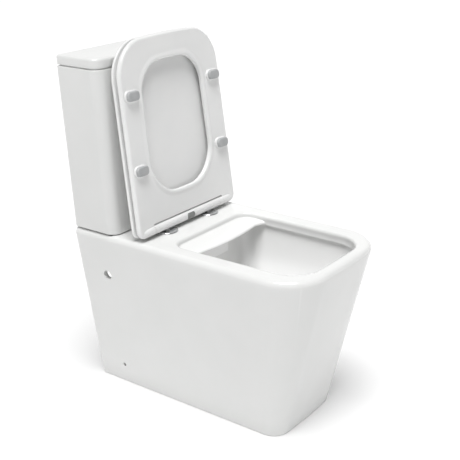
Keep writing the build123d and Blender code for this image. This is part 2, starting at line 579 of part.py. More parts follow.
def make_hinge_bar():
    """Hinge bar that stays upright on the posts, with its latch, button and two rotary dampers."""
    housing = bar(-HOUSING_HALF_LENGTH, HOUSING_HALF_LENGTH, HINGE_Y, HINGE_Z, HINGE_RADIUS)
    for side in (-1, 1):
        socket_radius = POST_RADIUS + RUNNING_CLEARANCE
        housing -= post(side * HINGE_POST_X, HINGE_Y, HINGE_Z - 20, HINGE_Z + 4.5, socket_radius)
        low, high = sorted((side * DAMPER_START, side * (HOUSING_HALF_LENGTH + 1)))
        housing -= bar(low, high, HINGE_Y, HINGE_Z, DAMPER_RADIUS)
    latch_half_depth, latch_half_height = 3.0, 1.8
    slot_half_depth = latch_half_depth + BODY_GAP
    housing -= hinge_block(HINGE_POST_X, -slot_half_depth, slot_half_depth, latch_half_height + BODY_GAP)
    housing -= hinge_block(RELEASE_HALF_WIDTH + 0.4, -20, -3.5, RELEASE_HALF_HEIGHT + 0.4)
    spring_end = 7.0
    well = Pos(0, HINGE_Y + spring_end, HINGE_Z) * Rot(90, 0, 0)
    housing -= well * Cylinder(4.5, 12, align=FROM_BOTTOM)
    save("hinge_housing", housing)

    face = bar(-RELEASE_HALF_WIDTH, RELEASE_HALF_WIDTH, HINGE_Y, HINGE_Z, HINGE_RADIUS + 0.7)
    save("release_button", face & hinge_block(RELEASE_HALF_WIDTH, -20, -RELEASE_DEPTH, RELEASE_HALF_HEIGHT))
    save("release_spring", well * coil_spring(0.45, 3.0, 2.4, spring_end + RELEASE_DEPTH))
    latch_end = HINGE_POST_X - POST_RADIUS - BODY_GAP
    y_span = (HINGE_Y - latch_half_depth, HINGE_Y + latch_half_depth)
    z_span = (HINGE_Z - latch_half_height, HINGE_Z + latch_half_height)
    save("latch_bar_left", block(-latch_end, -LATCH_START, *y_span, *z_span))
    save("latch_bar_right", block(LATCH_START, latch_end, *y_span, *z_span))

    free = SHAFT_RADIUS + RUNNING_CLEARANCE
    for name, side in (("lid", -1), ("ring", 1)):
        low, high = sorted((side * DAMPER_START, side * HOUSING_HALF_LENGTH))
        damper = bar(low, high, HINGE_Y, HINGE_Z, DAMPER_RADIUS)
        low, high = sorted((side * (DAMPER_START + 2), side * (HOUSING_HALF_LENGTH + 1)))
        save(f"{name}_damper", damper - bar(low, high, HINGE_Y, HINGE_Z, free))
        low, high = sorted((side * (DAMPER_START + 3), side * (RING_KNUCKLE_END - 4)))
        save(f"{name}_damper_shaft", bar(low, high, HINGE_Y, HINGE_Z, SHAFT_RADIUS))


# Seat ring and lid -----------------------------------------------------------------------------------------


def opened(shape):
    """Move a piece drawn flat about the hinge axis to its raised place."""
    return Pos(0, HINGE_Y, HINGE_Z) * Rot(-OPEN_ANGLE, 0, 0) * shape


def seat_slab(z_low, z_high, edge_radius):
    """Seat outline as a slab with rounded edges, cut back to the hinge radius behind the axis."""
    face = rounded_face(
        SEAT_REAR_HALF_WIDTH, SEAT_FRONT_HALF_WIDTH, HINGE_RADIUS, -SEAT_LENGTH + 7,
        SEAT_REAR_RADIUS, SEAT_FRONT_RADIUS, 7.0,
    )
    slab = prism(face, z_low, z_high)
    edges = slab.edges()
    return fillet(edges.group_by(Axis.Z)[0] + edges.group_by(Axis.Z)[-1], edge_radius)


def make_ring():
    """Seat ring with its knuckles at the ends of the hinge bar and four buffers below."""
    slab = seat_slab(RING_BOTTOM, RING_TOP, 5.5)
    reach = 200.0
    ahead = block(-reach, reach, -500, 0, -40, 40)
    slab &= ahead + bar(-reach, reach, 0, 0, HINGE_RADIUS - 0.1)
    hole = rounded_face(106, 111, -88, -371, 74, 92, 9.0, 7.0)
    slab -= prism(hole, RING_BOTTOM - 1, RING_TOP + 1)
    slab -= block(-KNUCKLE_SPLIT, KNUCKLE_SPLIT, -CUT_OUT_DEPTH, 20, -40, 40)
    for side in (-1, 1):
        low, high = sorted((side * (KNUCKLE_SPLIT + 0.1), side * RING_KNUCKLE_END))
        slab += bar(low, high, 0, 0, HINGE_RADIUS)
        tip = Pos(side * RING_KNUCKLE_END, 0, 0) * Rot(0, side * 90, 0)
        slab += tip * Cone(HINGE_RADIUS, 7.0, 16, align=FROM_BOTTOM)
    free = SHAFT_RADIUS + RUNNING_CLEARANCE
    slab -= bar(-RING_KNUCKLE_END + 3.5, -KNUCKLE_SPLIT + 1, 0, 0, free)
    slab -= bar(KNUCKLE_SPLIT - 1, RING_KNUCKLE_END - 4, 0, 0, SHAFT_RADIUS)
    save("seat_ring", opened(slab))
    buffers = []
    pad = RectangleRounded(38, 22, 9)
    pad_height = HINGE_RISE + RING_BOTTOM - BODY_GAP
    for x, y in RING_BUFFERS:
        for side in (-1, 1):
            buffer = Pos(side * x, y, RING_BOTTOM - pad_height) * extrude(pad, amount=pad_height)
            buffers.append(opened(fillet(buffer.edges().group_by(Axis.Z)[0], 5)))
    save("ring_bumpers", Compound(children=buffers))


def make_lid():
    """Seat lid with an arm and knuckle at each end of the hinge bar."""
    slab = seat_slab(SEAT_LID_BOTTOM, SEAT_LID_TOP, 3.0)
    for side in (-1, 1):
        low, high = sorted((side * (HOUSING_HALF_LENGTH + 0.4), side * (KNUCKLE_SPLIT - 0.4)))
        slab += bar(low, high, 0, 0, HINGE_RADIUS - 0.1)
        slab += block(low, high, -10, 10, 0, SEAT_LID_BOTTOM + 1)
        bore_radius = SHAFT_RADIUS if side < 0 else SHAFT_RADIUS + RUNNING_CLEARANCE
        slab -= bar(low - 1, high + 1, 0, 0, bore_radius)
    save("seat_lid", opened(slab))
    buffers = []
    pad_bottom = RING_TOP + BODY_GAP
    for x, y in LID_BUFFERS:
        for side in (-1, 1):
            buffers.append(opened(post(side * x, y, pad_bottom, SEAT_LID_BOTTOM, 7)))
    save("lid_bumpers", Compound(children=buffers))


os.makedirs("parts", exist_ok=True)
save_pan()
save("cistern", make_cistern())
save("cistern_lid", make_cistern_lid())
make_cistern_fixings()
make_flush_button()
make_flush_valve()
make_fill_valve()
make_seat_fixings()
make_hinge_bar()
make_ring()
make_lid()
print(len(parts), "pieces")
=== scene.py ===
import json
import math

import bmesh
import bpy
from mathutils import Matrix, Vector


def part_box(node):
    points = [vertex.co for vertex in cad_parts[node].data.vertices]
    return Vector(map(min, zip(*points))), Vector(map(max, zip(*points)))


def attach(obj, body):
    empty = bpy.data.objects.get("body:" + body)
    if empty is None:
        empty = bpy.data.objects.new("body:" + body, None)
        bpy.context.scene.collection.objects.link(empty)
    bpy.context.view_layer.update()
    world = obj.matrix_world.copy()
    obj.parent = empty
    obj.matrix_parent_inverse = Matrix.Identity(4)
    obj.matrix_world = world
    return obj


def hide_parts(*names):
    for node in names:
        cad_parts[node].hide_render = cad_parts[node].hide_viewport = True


# The visible close coupled toilet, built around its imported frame. Lengths are millimetres in the frame's axes
# (+Z up, the front faces -Y, the wall is at +Y), and become metres where a mesh is made.

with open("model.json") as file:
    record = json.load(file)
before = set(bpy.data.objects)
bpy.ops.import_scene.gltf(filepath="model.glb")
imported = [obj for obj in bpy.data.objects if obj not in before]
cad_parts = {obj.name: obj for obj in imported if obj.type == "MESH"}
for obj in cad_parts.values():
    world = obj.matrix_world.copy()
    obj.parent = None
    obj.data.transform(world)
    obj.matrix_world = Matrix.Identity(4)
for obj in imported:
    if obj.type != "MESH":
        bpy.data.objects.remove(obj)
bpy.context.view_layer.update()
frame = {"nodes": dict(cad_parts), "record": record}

MM = 0.001

# Pan
PAN_LOW, PAN_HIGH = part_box("pan_skirt")[0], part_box("pan_deck")[1]
BACK_Y = PAN_HIGH.y / MM
PAN_HEIGHT = PAN_HIGH.z / MM
PAN_LENGTH = (PAN_HIGH.y - PAN_LOW.y) / MM
PAN_TOP_WIDTH = (PAN_HIGH.x - PAN_LOW.x) / MM
PAN_BASE_WIDTH = 238.0
PAN_BASE_LENGTH = 544.0
TOP_CORNER_RADIUS = 97.0
BASE_CORNER_RADIUS = 36.0
FRONT_BULGE = 5.0
RIM_RADIUS = 13.0
SKIRT_WALL = 12.0
DECK_THICKNESS = 22.0
BACK_CORNER_RADIUS = 5.0
FOOT_RADIUS = 2.5

# Bowl, set out by distances from the wall
BOWL_REAR = 262.0
BOWL_FRONT = 603.0
BOWL_HALF_WIDTH = 138.0
BOWL_TAPER = 5.0
BOWL_CORNER_RADIUS = 52.0
BOWL_WALL = 12.0
SHELF_EDGE = 312.0
SHELF_DROP = 12.0
INNER_RIM_RADIUS = 8.0
LIP_DEPTH = 22.0
LIP_UNDERCUT = 6.0
SUMP_FLOOR = 58.0
SUMP_REAR = 296.0
SUMP_FRONT = 376.0
SUMP_HALF_WIDTH = 40.0
SUMP_CORNER_RADIUS = 30.0
SHELF_DIP = 14.0
SHELF_FADE_LENGTH = 34.0
BOWL_SWELL = 1.8
BOWL_LEVELS = 22

# Waste passage
TRAP_RADIUS = 38.0
TRAP_WALL = 10.0
OUTLET_HEIGHT = 180.0
OUTLET_RADIUS = 51.0
OUTLET_LENGTH = 60.0
TRAP_LOW = 88.0
WEIR_HEIGHT = 250.0
TRAP_BEND_RADIUS = 55.0
DUCT_HALF_WIDTH = 56.0
DUCT_HEIGHT = 53.0

# Fixing and service holes
SIDE_HOLE_SETBACK = 84.0
ACCESS_HOLE = (311.0, 12.0)
FLOOR_HOLE = (52.0, 5.0)
VALVE_SETBACK = 61.5
FILL_VALVE_X = -130.0
CISTERN_BOLT_X = 80.0
DECK_BOLT_HOLE = 6.0
DECK_INLET_HOLE = 22.0
DECK_STUD_HOLE = 7.0
DECK_FLUSH_HOLE = 46.0

# Seat, drawn lying flat about its hinge axis
HINGE_LOW, HINGE_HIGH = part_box("hinge_housing")
HINGE_Y = (HINGE_LOW.y + HINGE_HIGH.y) / 2 / MM
HINGE_Z = (HINGE_LOW.z + HINGE_HIGH.z) / 2 / MM
HINGE_RADIUS = (HINGE_HIGH.z - HINGE_LOW.z) / 2 / MM
HOUSING_HALF_LENGTH = HINGE_HIGH.x / MM
HINGE_POST_X = 77.5
OPEN_ANGLE = 97.4
SEAT_LENGTH = 433.5
SEAT_REAR_HALF_WIDTH = 180.0
SEAT_FRONT_HALF_WIDTH = 171.0
SEAT_FRONT_RADIUS = 82.0
SEAT_REAR_RADIUS = 20.0
SEAT_FRONT_BULGE = 7.0
RING_BOTTOM = -8.0
RING_TOP = 5.5
SEAT_LID_BOTTOM = 12.0
SEAT_LID_TOP = 19.5
SLIT_DEPTH = 14.0
KNUCKLE_SPLIT = 127.9
RING_KNUCKLE_END = 150.0
SHAFT_RADIUS = 4.0
RING_BUFFERS = [(144.0, -312.0), (148.0, -144.0)]
LID_BUFFERS = [(138.0, -335.0), (138.0, -70.0)]

# Points along each stretch of an outline
CORNER_STEPS = 14
SIDE_STEPS = 10
FRONT_STEPS = 12
BACK_STEPS = 12


def from_back(distance):
    """Y of a point at a distance in front of the wall."""
    return BACK_Y - distance


def between(low, high, share):
    """Value at a share of the way from low to high."""
    return low + (high - low) * share


# Mesh tools ------------------------------------------------------------------------------------------------


def corner_arc(corner, before, after, radius):
    """Points of the arc that rounds a corner between its two neighbours."""
    corner, before, after = Vector(corner), Vector(before), Vector(after)
    to_before = (before - corner).normalized()
    to_after = (after - corner).normalized()
    half_angle = to_before.angle(to_after) / 2
    centre = corner + (to_before + to_after).normalized() * radius / math.sin(half_angle)
    reach = radius / math.tan(half_angle)
    start = corner + to_before * reach - centre
    end = corner + to_after * reach - centre
    turn = start.angle(end)
    points = []
    for step in range(CORNER_STEPS + 1):
        share = step / CORNER_STEPS
        mixed = start * math.sin((1 - share) * turn) + end * math.sin(share * turn)
        points.append(centre + mixed / math.sin(turn))
    return points


def spaced(start, end, steps):
    """Inner points of a straight stretch."""
    return [start.lerp(end, step / steps) for step in range(1, steps)]


def outline(half_rear, half_front, rear_y, front_y, rear_radius, front_radius, bulge=0.0, rear_bulge=0.0):
    """Closed outline with tapering sides and rounded corners. It runs from the rear left corner down the
    left side, across the front, up the right side and back along the rear edge."""
    rear_left, rear_right = Vector((-half_rear, rear_y)), Vector((half_rear, rear_y))
    front_left, front_right = Vector((-half_front, front_y)), Vector((half_front, front_y))
    arcs = [
        corner_arc(rear_left, rear_right, front_left, rear_radius),
        corner_arc(front_left, rear_left, front_right, front_radius),
        corner_arc(front_right, front_left, rear_right, front_radius),
        corner_arc(rear_right, front_right, rear_left, rear_radius),
    ]
    points = []
    for index, steps in enumerate((SIDE_STEPS, FRONT_STEPS, SIDE_STEPS, BACK_STEPS)):
        arc, following = arcs[index], arcs[(index + 1) % 4]
        points += arc + spaced(arc[-1], following[0], steps)
    for point in points:
        crown = 1 - min(1.0, abs(point.x) / half_front) ** 2
        if bulge and point.y < front_y + front_radius:
            point.y -= bulge * crown * (1 - (point.y - front_y) / front_radius)
        if rear_bulge and point.y > rear_y - rear_radius:
            point.y += rear_bulge * crown * (1 - (rear_y - point.y) / rear_radius)
    return points


class Skin:
    """Surface gathered from rings of points."""

    def __init__(self):
        self.points = []
        self.faces = []

    def ring(self, flat_points, z):
        """Add a level ring and return the places of its points."""
        return self.path([(point[0], point[1], z) for point in flat_points])

    def path(self, points):
        """Add points and return their places."""
        start = len(self.points)
        self.points += [tuple(point) for point in points]
        return list(range(start, len(self.points)))

    def bridge(self, low, high, closed=True):
        """Join two rings of equal length with four-sided faces."""
        count = len(low)
        for index in range(count if closed else count - 1):
            following = (index + 1) % count
            self.faces.append((low[index], low[following], high[following], high[index]))

    def tower(self, rings):
        """Join each ring to the next one."""
        for low, high in zip(rings, rings[1:]):
            self.bridge(low, high)

    def cap(self, ring):
        """Close a ring with one face."""
        self.faces.append(tuple(ring))

    def build(self, name, sharp_angle=32.0):
        """Make the object, in metres."""
        mesh = bpy.data.meshes.new(name)
        mesh.from_pydata([[value * MM for value in point] for point in self.points], [], self.faces)
        piece = bpy.data.objects.new(name, mesh)
        bpy.context.scene.collection.objects.link(piece)
        finish_shading(piece, sharp_angle)
        return piece


def finish_shading(piece, sharp_angle=32.0):
    """Weld, face outwards, and shade smooth except over sharp edges."""
    shape = bmesh.new()
    shape.from_mesh(piece.data)
    bmesh.ops.remove_doubles(shape, verts=shape.verts, dist=0.000005)
    bmesh.ops.recalc_face_normals(shape, faces=shape.faces)
    for face in shape.faces:
        face.smooth = True
    for edge in shape.edges:
        edge.smooth = edge.is_manifold and edge.calc_face_angle(0.0) < math.radians(sharp_angle)
    shape.to_mesh(piece.data)
    shape.free()


def apply_modifiers(piece):
    """Replace a piece's mesh with the result of its modifiers."""
    bpy.context.view_layer.update()
    evaluated = piece.evaluated_get(bpy.context.evaluated_depsgraph_get())
    mesh = bpy.data.meshes.new_from_object(evaluated)
    piece.modifiers.clear()
    piece.data = mesh


def combine(piece, other, operation):
    """Add, cut or intersect with another closed piece, which is then removed."""
    modifier = piece.modifiers.new("combine", "BOOLEAN")
    modifier.operation = operation
    modifier.solver = "MANIFOLD"
    modifier.object = other
    apply_modifiers(piece)
    bpy.data.objects.remove(other)


def join(name, pieces):
    """Make one object of several closed pieces."""
    shape = bmesh.new()
    for piece in pieces:
        shape.from_mesh(piece.data)
    mesh = bpy.data.meshes.new(name)
    shape.to_mesh(mesh)
    shape.free()
    for piece in pieces:
        bpy.data.objects.remove(piece)
    joined = bpy.data.objects.new(name, mesh)
    bpy.context.scene.collection.objects.link(joined)
    return joined


def turned(name, profile, place, direction=(0, 0, 1), steps=64):
    """Solid turned from a profile of (radius, height) pairs about an axis through a place."""
    turn = Vector((0, 0, 1)).rotation_difference(Vector(direction)).to_matrix()
    skin = Skin()
    rings = []
    for radius, height in profile:
        points = []
        for index in range(steps):
            angle = 2 * math.pi * index / steps
            point = Vector((max(radius, 0.0) * math.cos(angle), max(radius, 0.0) * math.sin(angle), height))
            points.append(Vector(place) + turn @ point)
        rings.append(skin.path(points))
    skin.tower(rings)
    if profile[0][0] == profile[-1][0] and profile[0][1] == profile[-1][1]:
        return skin.build(name)
    if profile[0][0] > 0:
        skin.cap(rings[0][::-1])
    if profile[-1][0] > 0:
        skin.cap(rings[-1])
    return skin.build(name)


def rod(name, start, end, radius, steps=48):
    """Plain cylinder used as a cutter or core."""
    start, end = Vector(start), Vector(end)
    length = (end - start).length
    return turned(name, [(radius, 0), (radius, length)], start, end - start, steps)


def box_piece(name, x_span, y_span, z_span):
    """Plain box used as a cutter."""
    skin = Skin()
    corners = [(x_span[0], y_span[0]), (x_span[1], y_span[0]), (x_span[1], y_span[1]), (x_span[0], y_span[1])]
    low, high = skin.ring(corners, z_span[0]), skin.ring(corners, z_span[1])
    skin.bridge(low, high)
    skin.cap(low[::-1])
    skin.cap(high)
    return skin.build(name)


# Pan -------------------------------------------------------------------------------------------------------


def skirt_outline(z, inset):
    """Outline of the skirt at one height, moved inwards by inset."""
    share = min(1.0, max(0.0, z / (PAN_HEIGHT - RIM_RADIUS)))
    half_width = between(PAN_BASE_WIDTH, PAN_TOP_WIDTH, share) / 2 - inset
    length = between(PAN_BASE_LENGTH, PAN_LENGTH, share) - FRONT_BULGE - inset
    corner = between(BASE_CORNER_RADIUS, TOP_CORNER_RADIUS, share) - inset
    return outline(half_width, half_width, BACK_Y, from_back(length), BACK_CORNER_RADIUS, corner, FRONT_BULGE)


def bowl_outline(rear, front, half_width, corner, outset=0.0):
    """Level outline of the bowl, set out by distances from the wall, moved outwards by outset."""
    half_rear = half_width + outset
    return outline(
        half_rear, half_rear - BOWL_TAPER, from_back(rear - outset), from_back(front + outset),
        corner * 0.7 + outset, corner * 1.15 + outset, 5.0,
    )


def bowl_side(depth):
    """Front distance, half width, rear distance and corner radius at a share of the bowl's depth."""
    share = depth ** BOWL_SWELL / (depth ** BOWL_SWELL + (1 - depth) ** BOWL_SWELL)
    front = between(BOWL_FRONT, SUMP_FRONT, share)
    half_width = between(BOWL_HALF_WIDTH, SUMP_HALF_WIDTH, share)
    rear = between(BOWL_REAR, SUMP_REAR, share)
    corner = between(BOWL_CORNER_RADIUS, SUMP_CORNER_RADIUS, depth)
    return rear, front, half_width, corner


def bowl_inside(skin):
    """Rings of the bowl from the flat rim, over the shelf and lip, down to the sump."""
    rings = []
    mouth = (BOWL_REAR, BOWL_FRONT, BOWL_HALF_WIDTH, BOWL_CORNER_RADIUS)
    for step in range(9):
        angle = math.pi / 2 * (1 - step / 8)
        outset = INNER_RIM_RADIUS * (1 - math.cos(angle))
        z = PAN_HEIGHT - INNER_RIM_RADIUS * (1 - math.sin(angle))
        rings.append(skin.ring(bowl_outline(*mouth, outset), z))
    shelf = [
        (SHELF_DROP - 1.6, 1.2), (SHELF_DROP - 0.4, 4.0), (SHELF_DROP, 9.0),
        (SHELF_DROP + 0.5, 22.0), (SHELF_DROP + 1.2, 38.0), (SHELF_DROP + 2.2, 45.0),
        (SHELF_DROP + 4.0, 48.6), (SHELF_DROP + 6.4, 50.0),
        (LIP_DEPTH - 1.5, 50.0), (LIP_DEPTH - 0.4, 49.4), (LIP_DEPTH, 47.8),
    ]
    for drop, run in shelf:
        rings.append(skin.ring(mouth_with_shelf(run), PAN_HEIGHT - drop))
    under = [(LIP_DEPTH + 0.3, 2.0, 40.0), (LIP_DEPTH + 1.6, 4.6, 18.0), (LIP_DEPTH + 5.0, LIP_UNDERCUT, 4.0)]
    for drop, outset, run in under:
        rings.append(skin.ring(mouth_with_shelf(run, outset), PAN_HEIGHT - drop))
    top = PAN_HEIGHT - LIP_DEPTH - 10
    for level in range(BOWL_LEVELS + 1):
        depth = level / BOWL_LEVELS
        rear, front, half_width, corner = bowl_side(depth)
        outset = LIP_UNDERCUT * (1 - min(1.0, depth * 6)) ** 2
        z = between(top, SUMP_FLOOR + 8, depth)
        rings.append(skin.ring(bowl_outline(rear, front, half_width, corner, outset), z))
    rear, front, half_width, corner = bowl_side(1.0)
    rings.append(skin.ring(bowl_outline(rear, front, half_width, corner, -3), SUMP_FLOOR + 2))
    rings.append(skin.ring(bowl_outline(rear, front, half_width, corner, -8), SUMP_FLOOR))
    return rings


def mouth_with_shelf(run, outset=0.0):
    """Outline of the mouth, its rear edge brought forward by run over a shelf that dips in the middle."""
    points = bowl_outline(BOWL_REAR, BOWL_FRONT, BOWL_HALF_WIDTH, BOWL_CORNER_RADIUS, outset)
    rear_y = from_back(BOWL_REAR - outset)
    reach = SHELF_EDGE - BOWL_REAR
    for point in points:
        behind = min(1.0, max(0.0, 1 - (rear_y - point.y) / (reach + SHELF_FADE_LENGTH)))
        ease = behind * behind * (3 - 2 * behind)
        dip = -SHELF_DIP * (1 - min(1.0, abs(point.x) / BOWL_HALF_WIDTH) ** 2)
        point.y -= ease * (run - dip * min(1.0, run / reach))
    return points


def bowl_outside(skin):
    """Rings of the bowl's outer face from the deck's underside down to the sump."""
    rings = []
    top = PAN_HEIGHT - DECK_THICKNESS
    for level in range(BOWL_LEVELS + 1):
        depth = level / BOWL_LEVELS
        rear, front, half_width, corner = bowl_side(depth)
        z = between(top, SUMP_FLOOR - 6, depth)
        rings.append(skin.ring(bowl_outline(rear, front, half_width, corner, BOWL_WALL), z))
    rear, front, half_width, corner = bowl_side(1.0)
    rings.append(skin.ring(bowl_outline(rear, front, half_width, corner, BOWL_WALL - 4), SUMP_FLOOR - 12))
    return rings


def pan_shell():
    """Skirt, deck, rim and bowl as one closed shell that is open at the back and below."""
    skin = Skin()
    deck_bottom = PAN_HEIGHT - DECK_THICKNESS
    open_count = 4 * (CORNER_STEPS + 1) + 2 * (SIDE_STEPS - 1) + (FRONT_STEPS - 1)
    outer, inner = [], []
    heights = [FOOT_RADIUS] + [between(FOOT_RADIUS, deck_bottom, (step + 1) / 12) for step in range(12)]
    for z in heights:
        outer.append(skin.ring(skirt_outline(z, 0.0), z))
    foot = skin.ring(skirt_outline(0.0, FOOT_RADIUS * 0.3), FOOT_RADIUS * 0.3)
    sole = skin.ring(skirt_outline(0.0, FOOT_RADIUS), 0.0)
    outer = [sole, foot] + outer
    for z in [0.0, 1.0] + heights:
        flat = skirt_outline(z, SKIRT_WALL)
        inner.append(skin.ring(flat, z))
    for rings in (outer, inner):
        for low, high in zip(rings, rings[1:]):
            skin.bridge(low[:open_count], high[:open_count], closed=False)
    skin.bridge(outer[0][:open_count], inner[0][:open_count], closed=False)
    for index in (0, open_count - 1):
        for low, high in zip(range(len(outer) - 1), range(1, len(outer))):
            skin.faces.append((outer[low][index], outer[high][index], inner[high][index], inner[low][index]))
    back_places = outer[-1][open_count:]
    end_x = skin.points[inner[-1][open_count - 1]][0]
    for index, place in enumerate(back_places):
        x = between(end_x, -end_x, index / (len(back_places) - 1))
        skin.points[place] = (x, BACK_Y, deck_bottom)
    top_rings = [outer[-1]]
    for step in range(10):
        angle = math.pi / 2 * step / 9
        z = PAN_HEIGHT - RIM_RADIUS * (1 - math.sin(angle))
        top_rings.append(skin.ring(skirt_outline(z, RIM_RADIUS * (1 - math.cos(angle))), z))
    inside = bowl_inside(skin)
    skin.tower(top_rings + inside)
    skin.cap(inside[-1])
    outside = bowl_outside(skin)
    skin.tower([inner[-1][:open_count] + back_places] + outside)
    skin.cap(outside[-1])
    return skin.build("pan")


def trap_path(start, end):
    """Points along the waste passage, from the sump over the weir to the outlet."""
    corners = [
        Vector((0, from_back(start), TRAP_LOW)), Vector((0, from_back(272), TRAP_LOW)),
        Vector((0, from_back(188), WEIR_HEIGHT)), Vector((0, from_back(112), OUTLET_HEIGHT)),
        Vector((0, from_back(end), OUTLET_HEIGHT)),
    ]
    points = [corners[0]]
    for before, corner, after in zip(corners, corners[1:], corners[2:]):
        points += corner_arc(corner, before, after, TRAP_BEND_RADIUS)
    return points + [corners[-1]]


def tube_along(name, points, radius, steps=40):
    """Closed tube whose sections stand square to a path in the middle plane."""
    skin = Skin()
    rings = []
    for index, point in enumerate(points):
        ahead = points[min(index + 1, len(points) - 1)] - points[max(index - 1, 0)]
        ahead.normalize()
        upward = Vector((1, 0, 0)).cross(ahead).normalized()
        ring = []
        for step in range(steps):
            angle = 2 * math.pi * step / steps
            ring.append(point + Vector((radius * math.cos(angle), 0, 0)) + upward * radius * math.sin(angle))
        rings.append(skin.path(ring))
    skin.tower(rings)
    skin.cap(rings[0][::-1])
    skin.cap(rings[-1])
    return skin.build(name)


def make_pan():
    """Ceramic pan with its waste passage, flush duct and holes."""
    pan = pan_shell()
    combine(pan, tube_along("passage", trap_path(292, 2), TRAP_RADIUS + TRAP_WALL), "UNION")
    spigot_start, spigot_end = (0, from_back(OUTLET_LENGTH), OUTLET_HEIGHT), (0, BACK_Y, OUTLET_HEIGHT)
    combine(pan, rod("spigot", spigot_start, spigot_end, OUTLET_RADIUS), "UNION")
    deck_bottom = PAN_HEIGHT - DECK_THICKNESS
    duct = box_piece(
        "duct", (-DUCT_HALF_WIDTH, DUCT_HALF_WIDTH), (from_back(275), from_back(8)),
        (deck_bottom - DUCT_HEIGHT, deck_bottom + 2),
    )
    combine(pan, duct, "UNION")
    combine(pan, tube_along("bore", trap_path(330, -4), TRAP_RADIUS), "DIFFERENCE")
    drills = []
    hole_y = from_back(SIDE_HOLE_SETBACK)
    valve_y = from_back(VALVE_SETBACK)
    for side in (-1, 1):
        for height, radius in (ACCESS_HOLE, FLOOR_HOLE):
            drills.append(rod("drill", (side * 95, hole_y, height), (side * 200, hole_y, height), radius))
        for x, y, radius in (
            (side * CISTERN_BOLT_X, valve_y, DECK_BOLT_HOLE), (side * FILL_VALVE_X, valve_y, DECK_INLET_HOLE),
            (side * HINGE_POST_X, HINGE_Y, DECK_STUD_HOLE),
        ):
            drills.append(rod("drill", (x, y, deck_bottom - 8), (x, y, PAN_HEIGHT + 4), radius))
    drills.append(rod("drill", (0, valve_y, deck_bottom - 30), (0, valve_y, PAN_HEIGHT + 4), DECK_FLUSH_HOLE))
    combine(pan, join("drills", drills), "DIFFERENCE")
    finish_shading(pan)
    # The pan takes the lighter copy of the glaze, which is painted light.
    present(pan, "base", "ceramic", "pan_glaze_painted_light", "pan_deck", "pan_skirt", "pan_bowl", "pan_trap")
    leave_unglazed_in_painted_shade(pan)


def leave_unglazed_in_painted_shade(pan):
    """Leave the faces inside the skirt as bare clay, apart from the inside of the bowl and the outlet. The
    clay's near-black colour is painted shade.
    """
    pan.data.materials.append(MATERIALS["bare_clay_painted_shade"])
    top = PAN_HEIGHT - DECK_THICKNESS
    for face in pan.data.polygons:
        x, y, z = face.center / MM
        share = z / (PAN_HEIGHT - RIM_RADIUS)
        corner = between(BASE_CORNER_RADIUS, TOP_CORNER_RADIUS, share)
        past_x = abs(x) - between(PAN_BASE_WIDTH, PAN_TOP_WIDTH, share) / 2 + corner
        past_y = from_back(between(PAN_BASE_LENGTH, PAN_LENGTH, share)) + corner - y
        reach = math.hypot(past_x, past_y) if min(past_x, past_y) > 0 else max(past_x, past_y)
        behind_skirt = reach < corner - SKIRT_WALL + 2
        depth = min(1.0, max(0.0, (top - z) / (top - SUMP_FLOOR)))
        rear, front, bowl_half_width, _ = bowl_side(depth)
        in_bowl = abs(x) < bowl_half_width + 7 and from_back(front + 7) < y < from_back(rear - 5)
        off_outlet = math.hypot(x, z - OUTLET_HEIGHT)
        near_outlet = y > from_back(OUTLET_LENGTH + 2) and off_outlet < OUTLET_RADIUS + 1
        if 1 < z < top + 1 and behind_skirt and y < BACK_Y - 1 and not in_bowl and not near_outlet:
            # Painted shade: these faces take the near-black clay.
            face.material_index = 1


# Cistern ---------------------------------------------------------------------------------------------------

CISTERN_LOW, CISTERN_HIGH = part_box("cistern")
CISTERN_BOTTOM = CISTERN_LOW.z / MM
CISTERN_TOP = CISTERN_HIGH.z / MM
CISTERN_TOP_WIDTH = (CISTERN_HIGH.x - CISTERN_LOW.x) / MM
CISTERN_BASE_WIDTH = 362.0
CISTERN_DEPTH = (CISTERN_HIGH.y - CISTERN_LOW.y) / MM
CISTERN_TOP_DEPTH = 123.0
CISTERN_WALL = 9.0
CISTERN_FLOOR = 12.0
CISTERN_CORNER_RADIUS = 26.0
CISTERN_REAR_RADIUS = 6.0
FLUSH_VALVE_HOLE = 31.0
FILL_VALVE_HOLE = 11.0
CISTERN_BOLT_HOLE = 5.5
BUTTON_HOLE = 24.25
LID_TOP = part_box("cistern_lid")[1].z / MM
LID_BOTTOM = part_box("cistern_lid")[0].z / MM
LID_SHADOW_GAP = 2.5
VALVE_Y = from_back(VALVE_SETBACK)


def cistern_outline(z, inset):
    """Outline of the cistern at one height, moved inwards by inset."""
    share = (z - CISTERN_BOTTOM) / (CISTERN_TOP - CISTERN_BOTTOM)
    half_width = between(CISTERN_BASE_WIDTH, CISTERN_TOP_WIDTH, share) / 2 - inset
    depth = between(CISTERN_DEPTH, CISTERN_TOP_DEPTH, share)
    corner = max(CISTERN_CORNER_RADIUS - inset, 3.0)
    front_y = from_back(depth - inset)
    return outline(half_width, half_width, BACK_Y - inset, front_y, CISTERN_REAR_RADIUS, corner)


def rounded_wall(skin, outline_at, low_z, high_z, low_radius, high_radius, steps=6):
    """Rings of a wall that starts under its rounded lower edge and ends on top of its rounded upper edge."""
    rings = []
    for step in range(steps + 1):
        angle = math.pi / 2 * step / steps
        z = low_z + low_radius * (1 - math.cos(angle))
        inset = low_radius * (1 - math.sin(angle))
        rings.append(skin.ring(outline_at(z, inset), z))
    for step in range(steps + 1):
        angle = math.pi / 2 * step / steps
        z = high_z - high_radius * (1 - math.sin(angle))
        inset = high_radius * (1 - math.cos(angle))
        rings.append(skin.ring(outline_at(z, inset), z))
    return rings


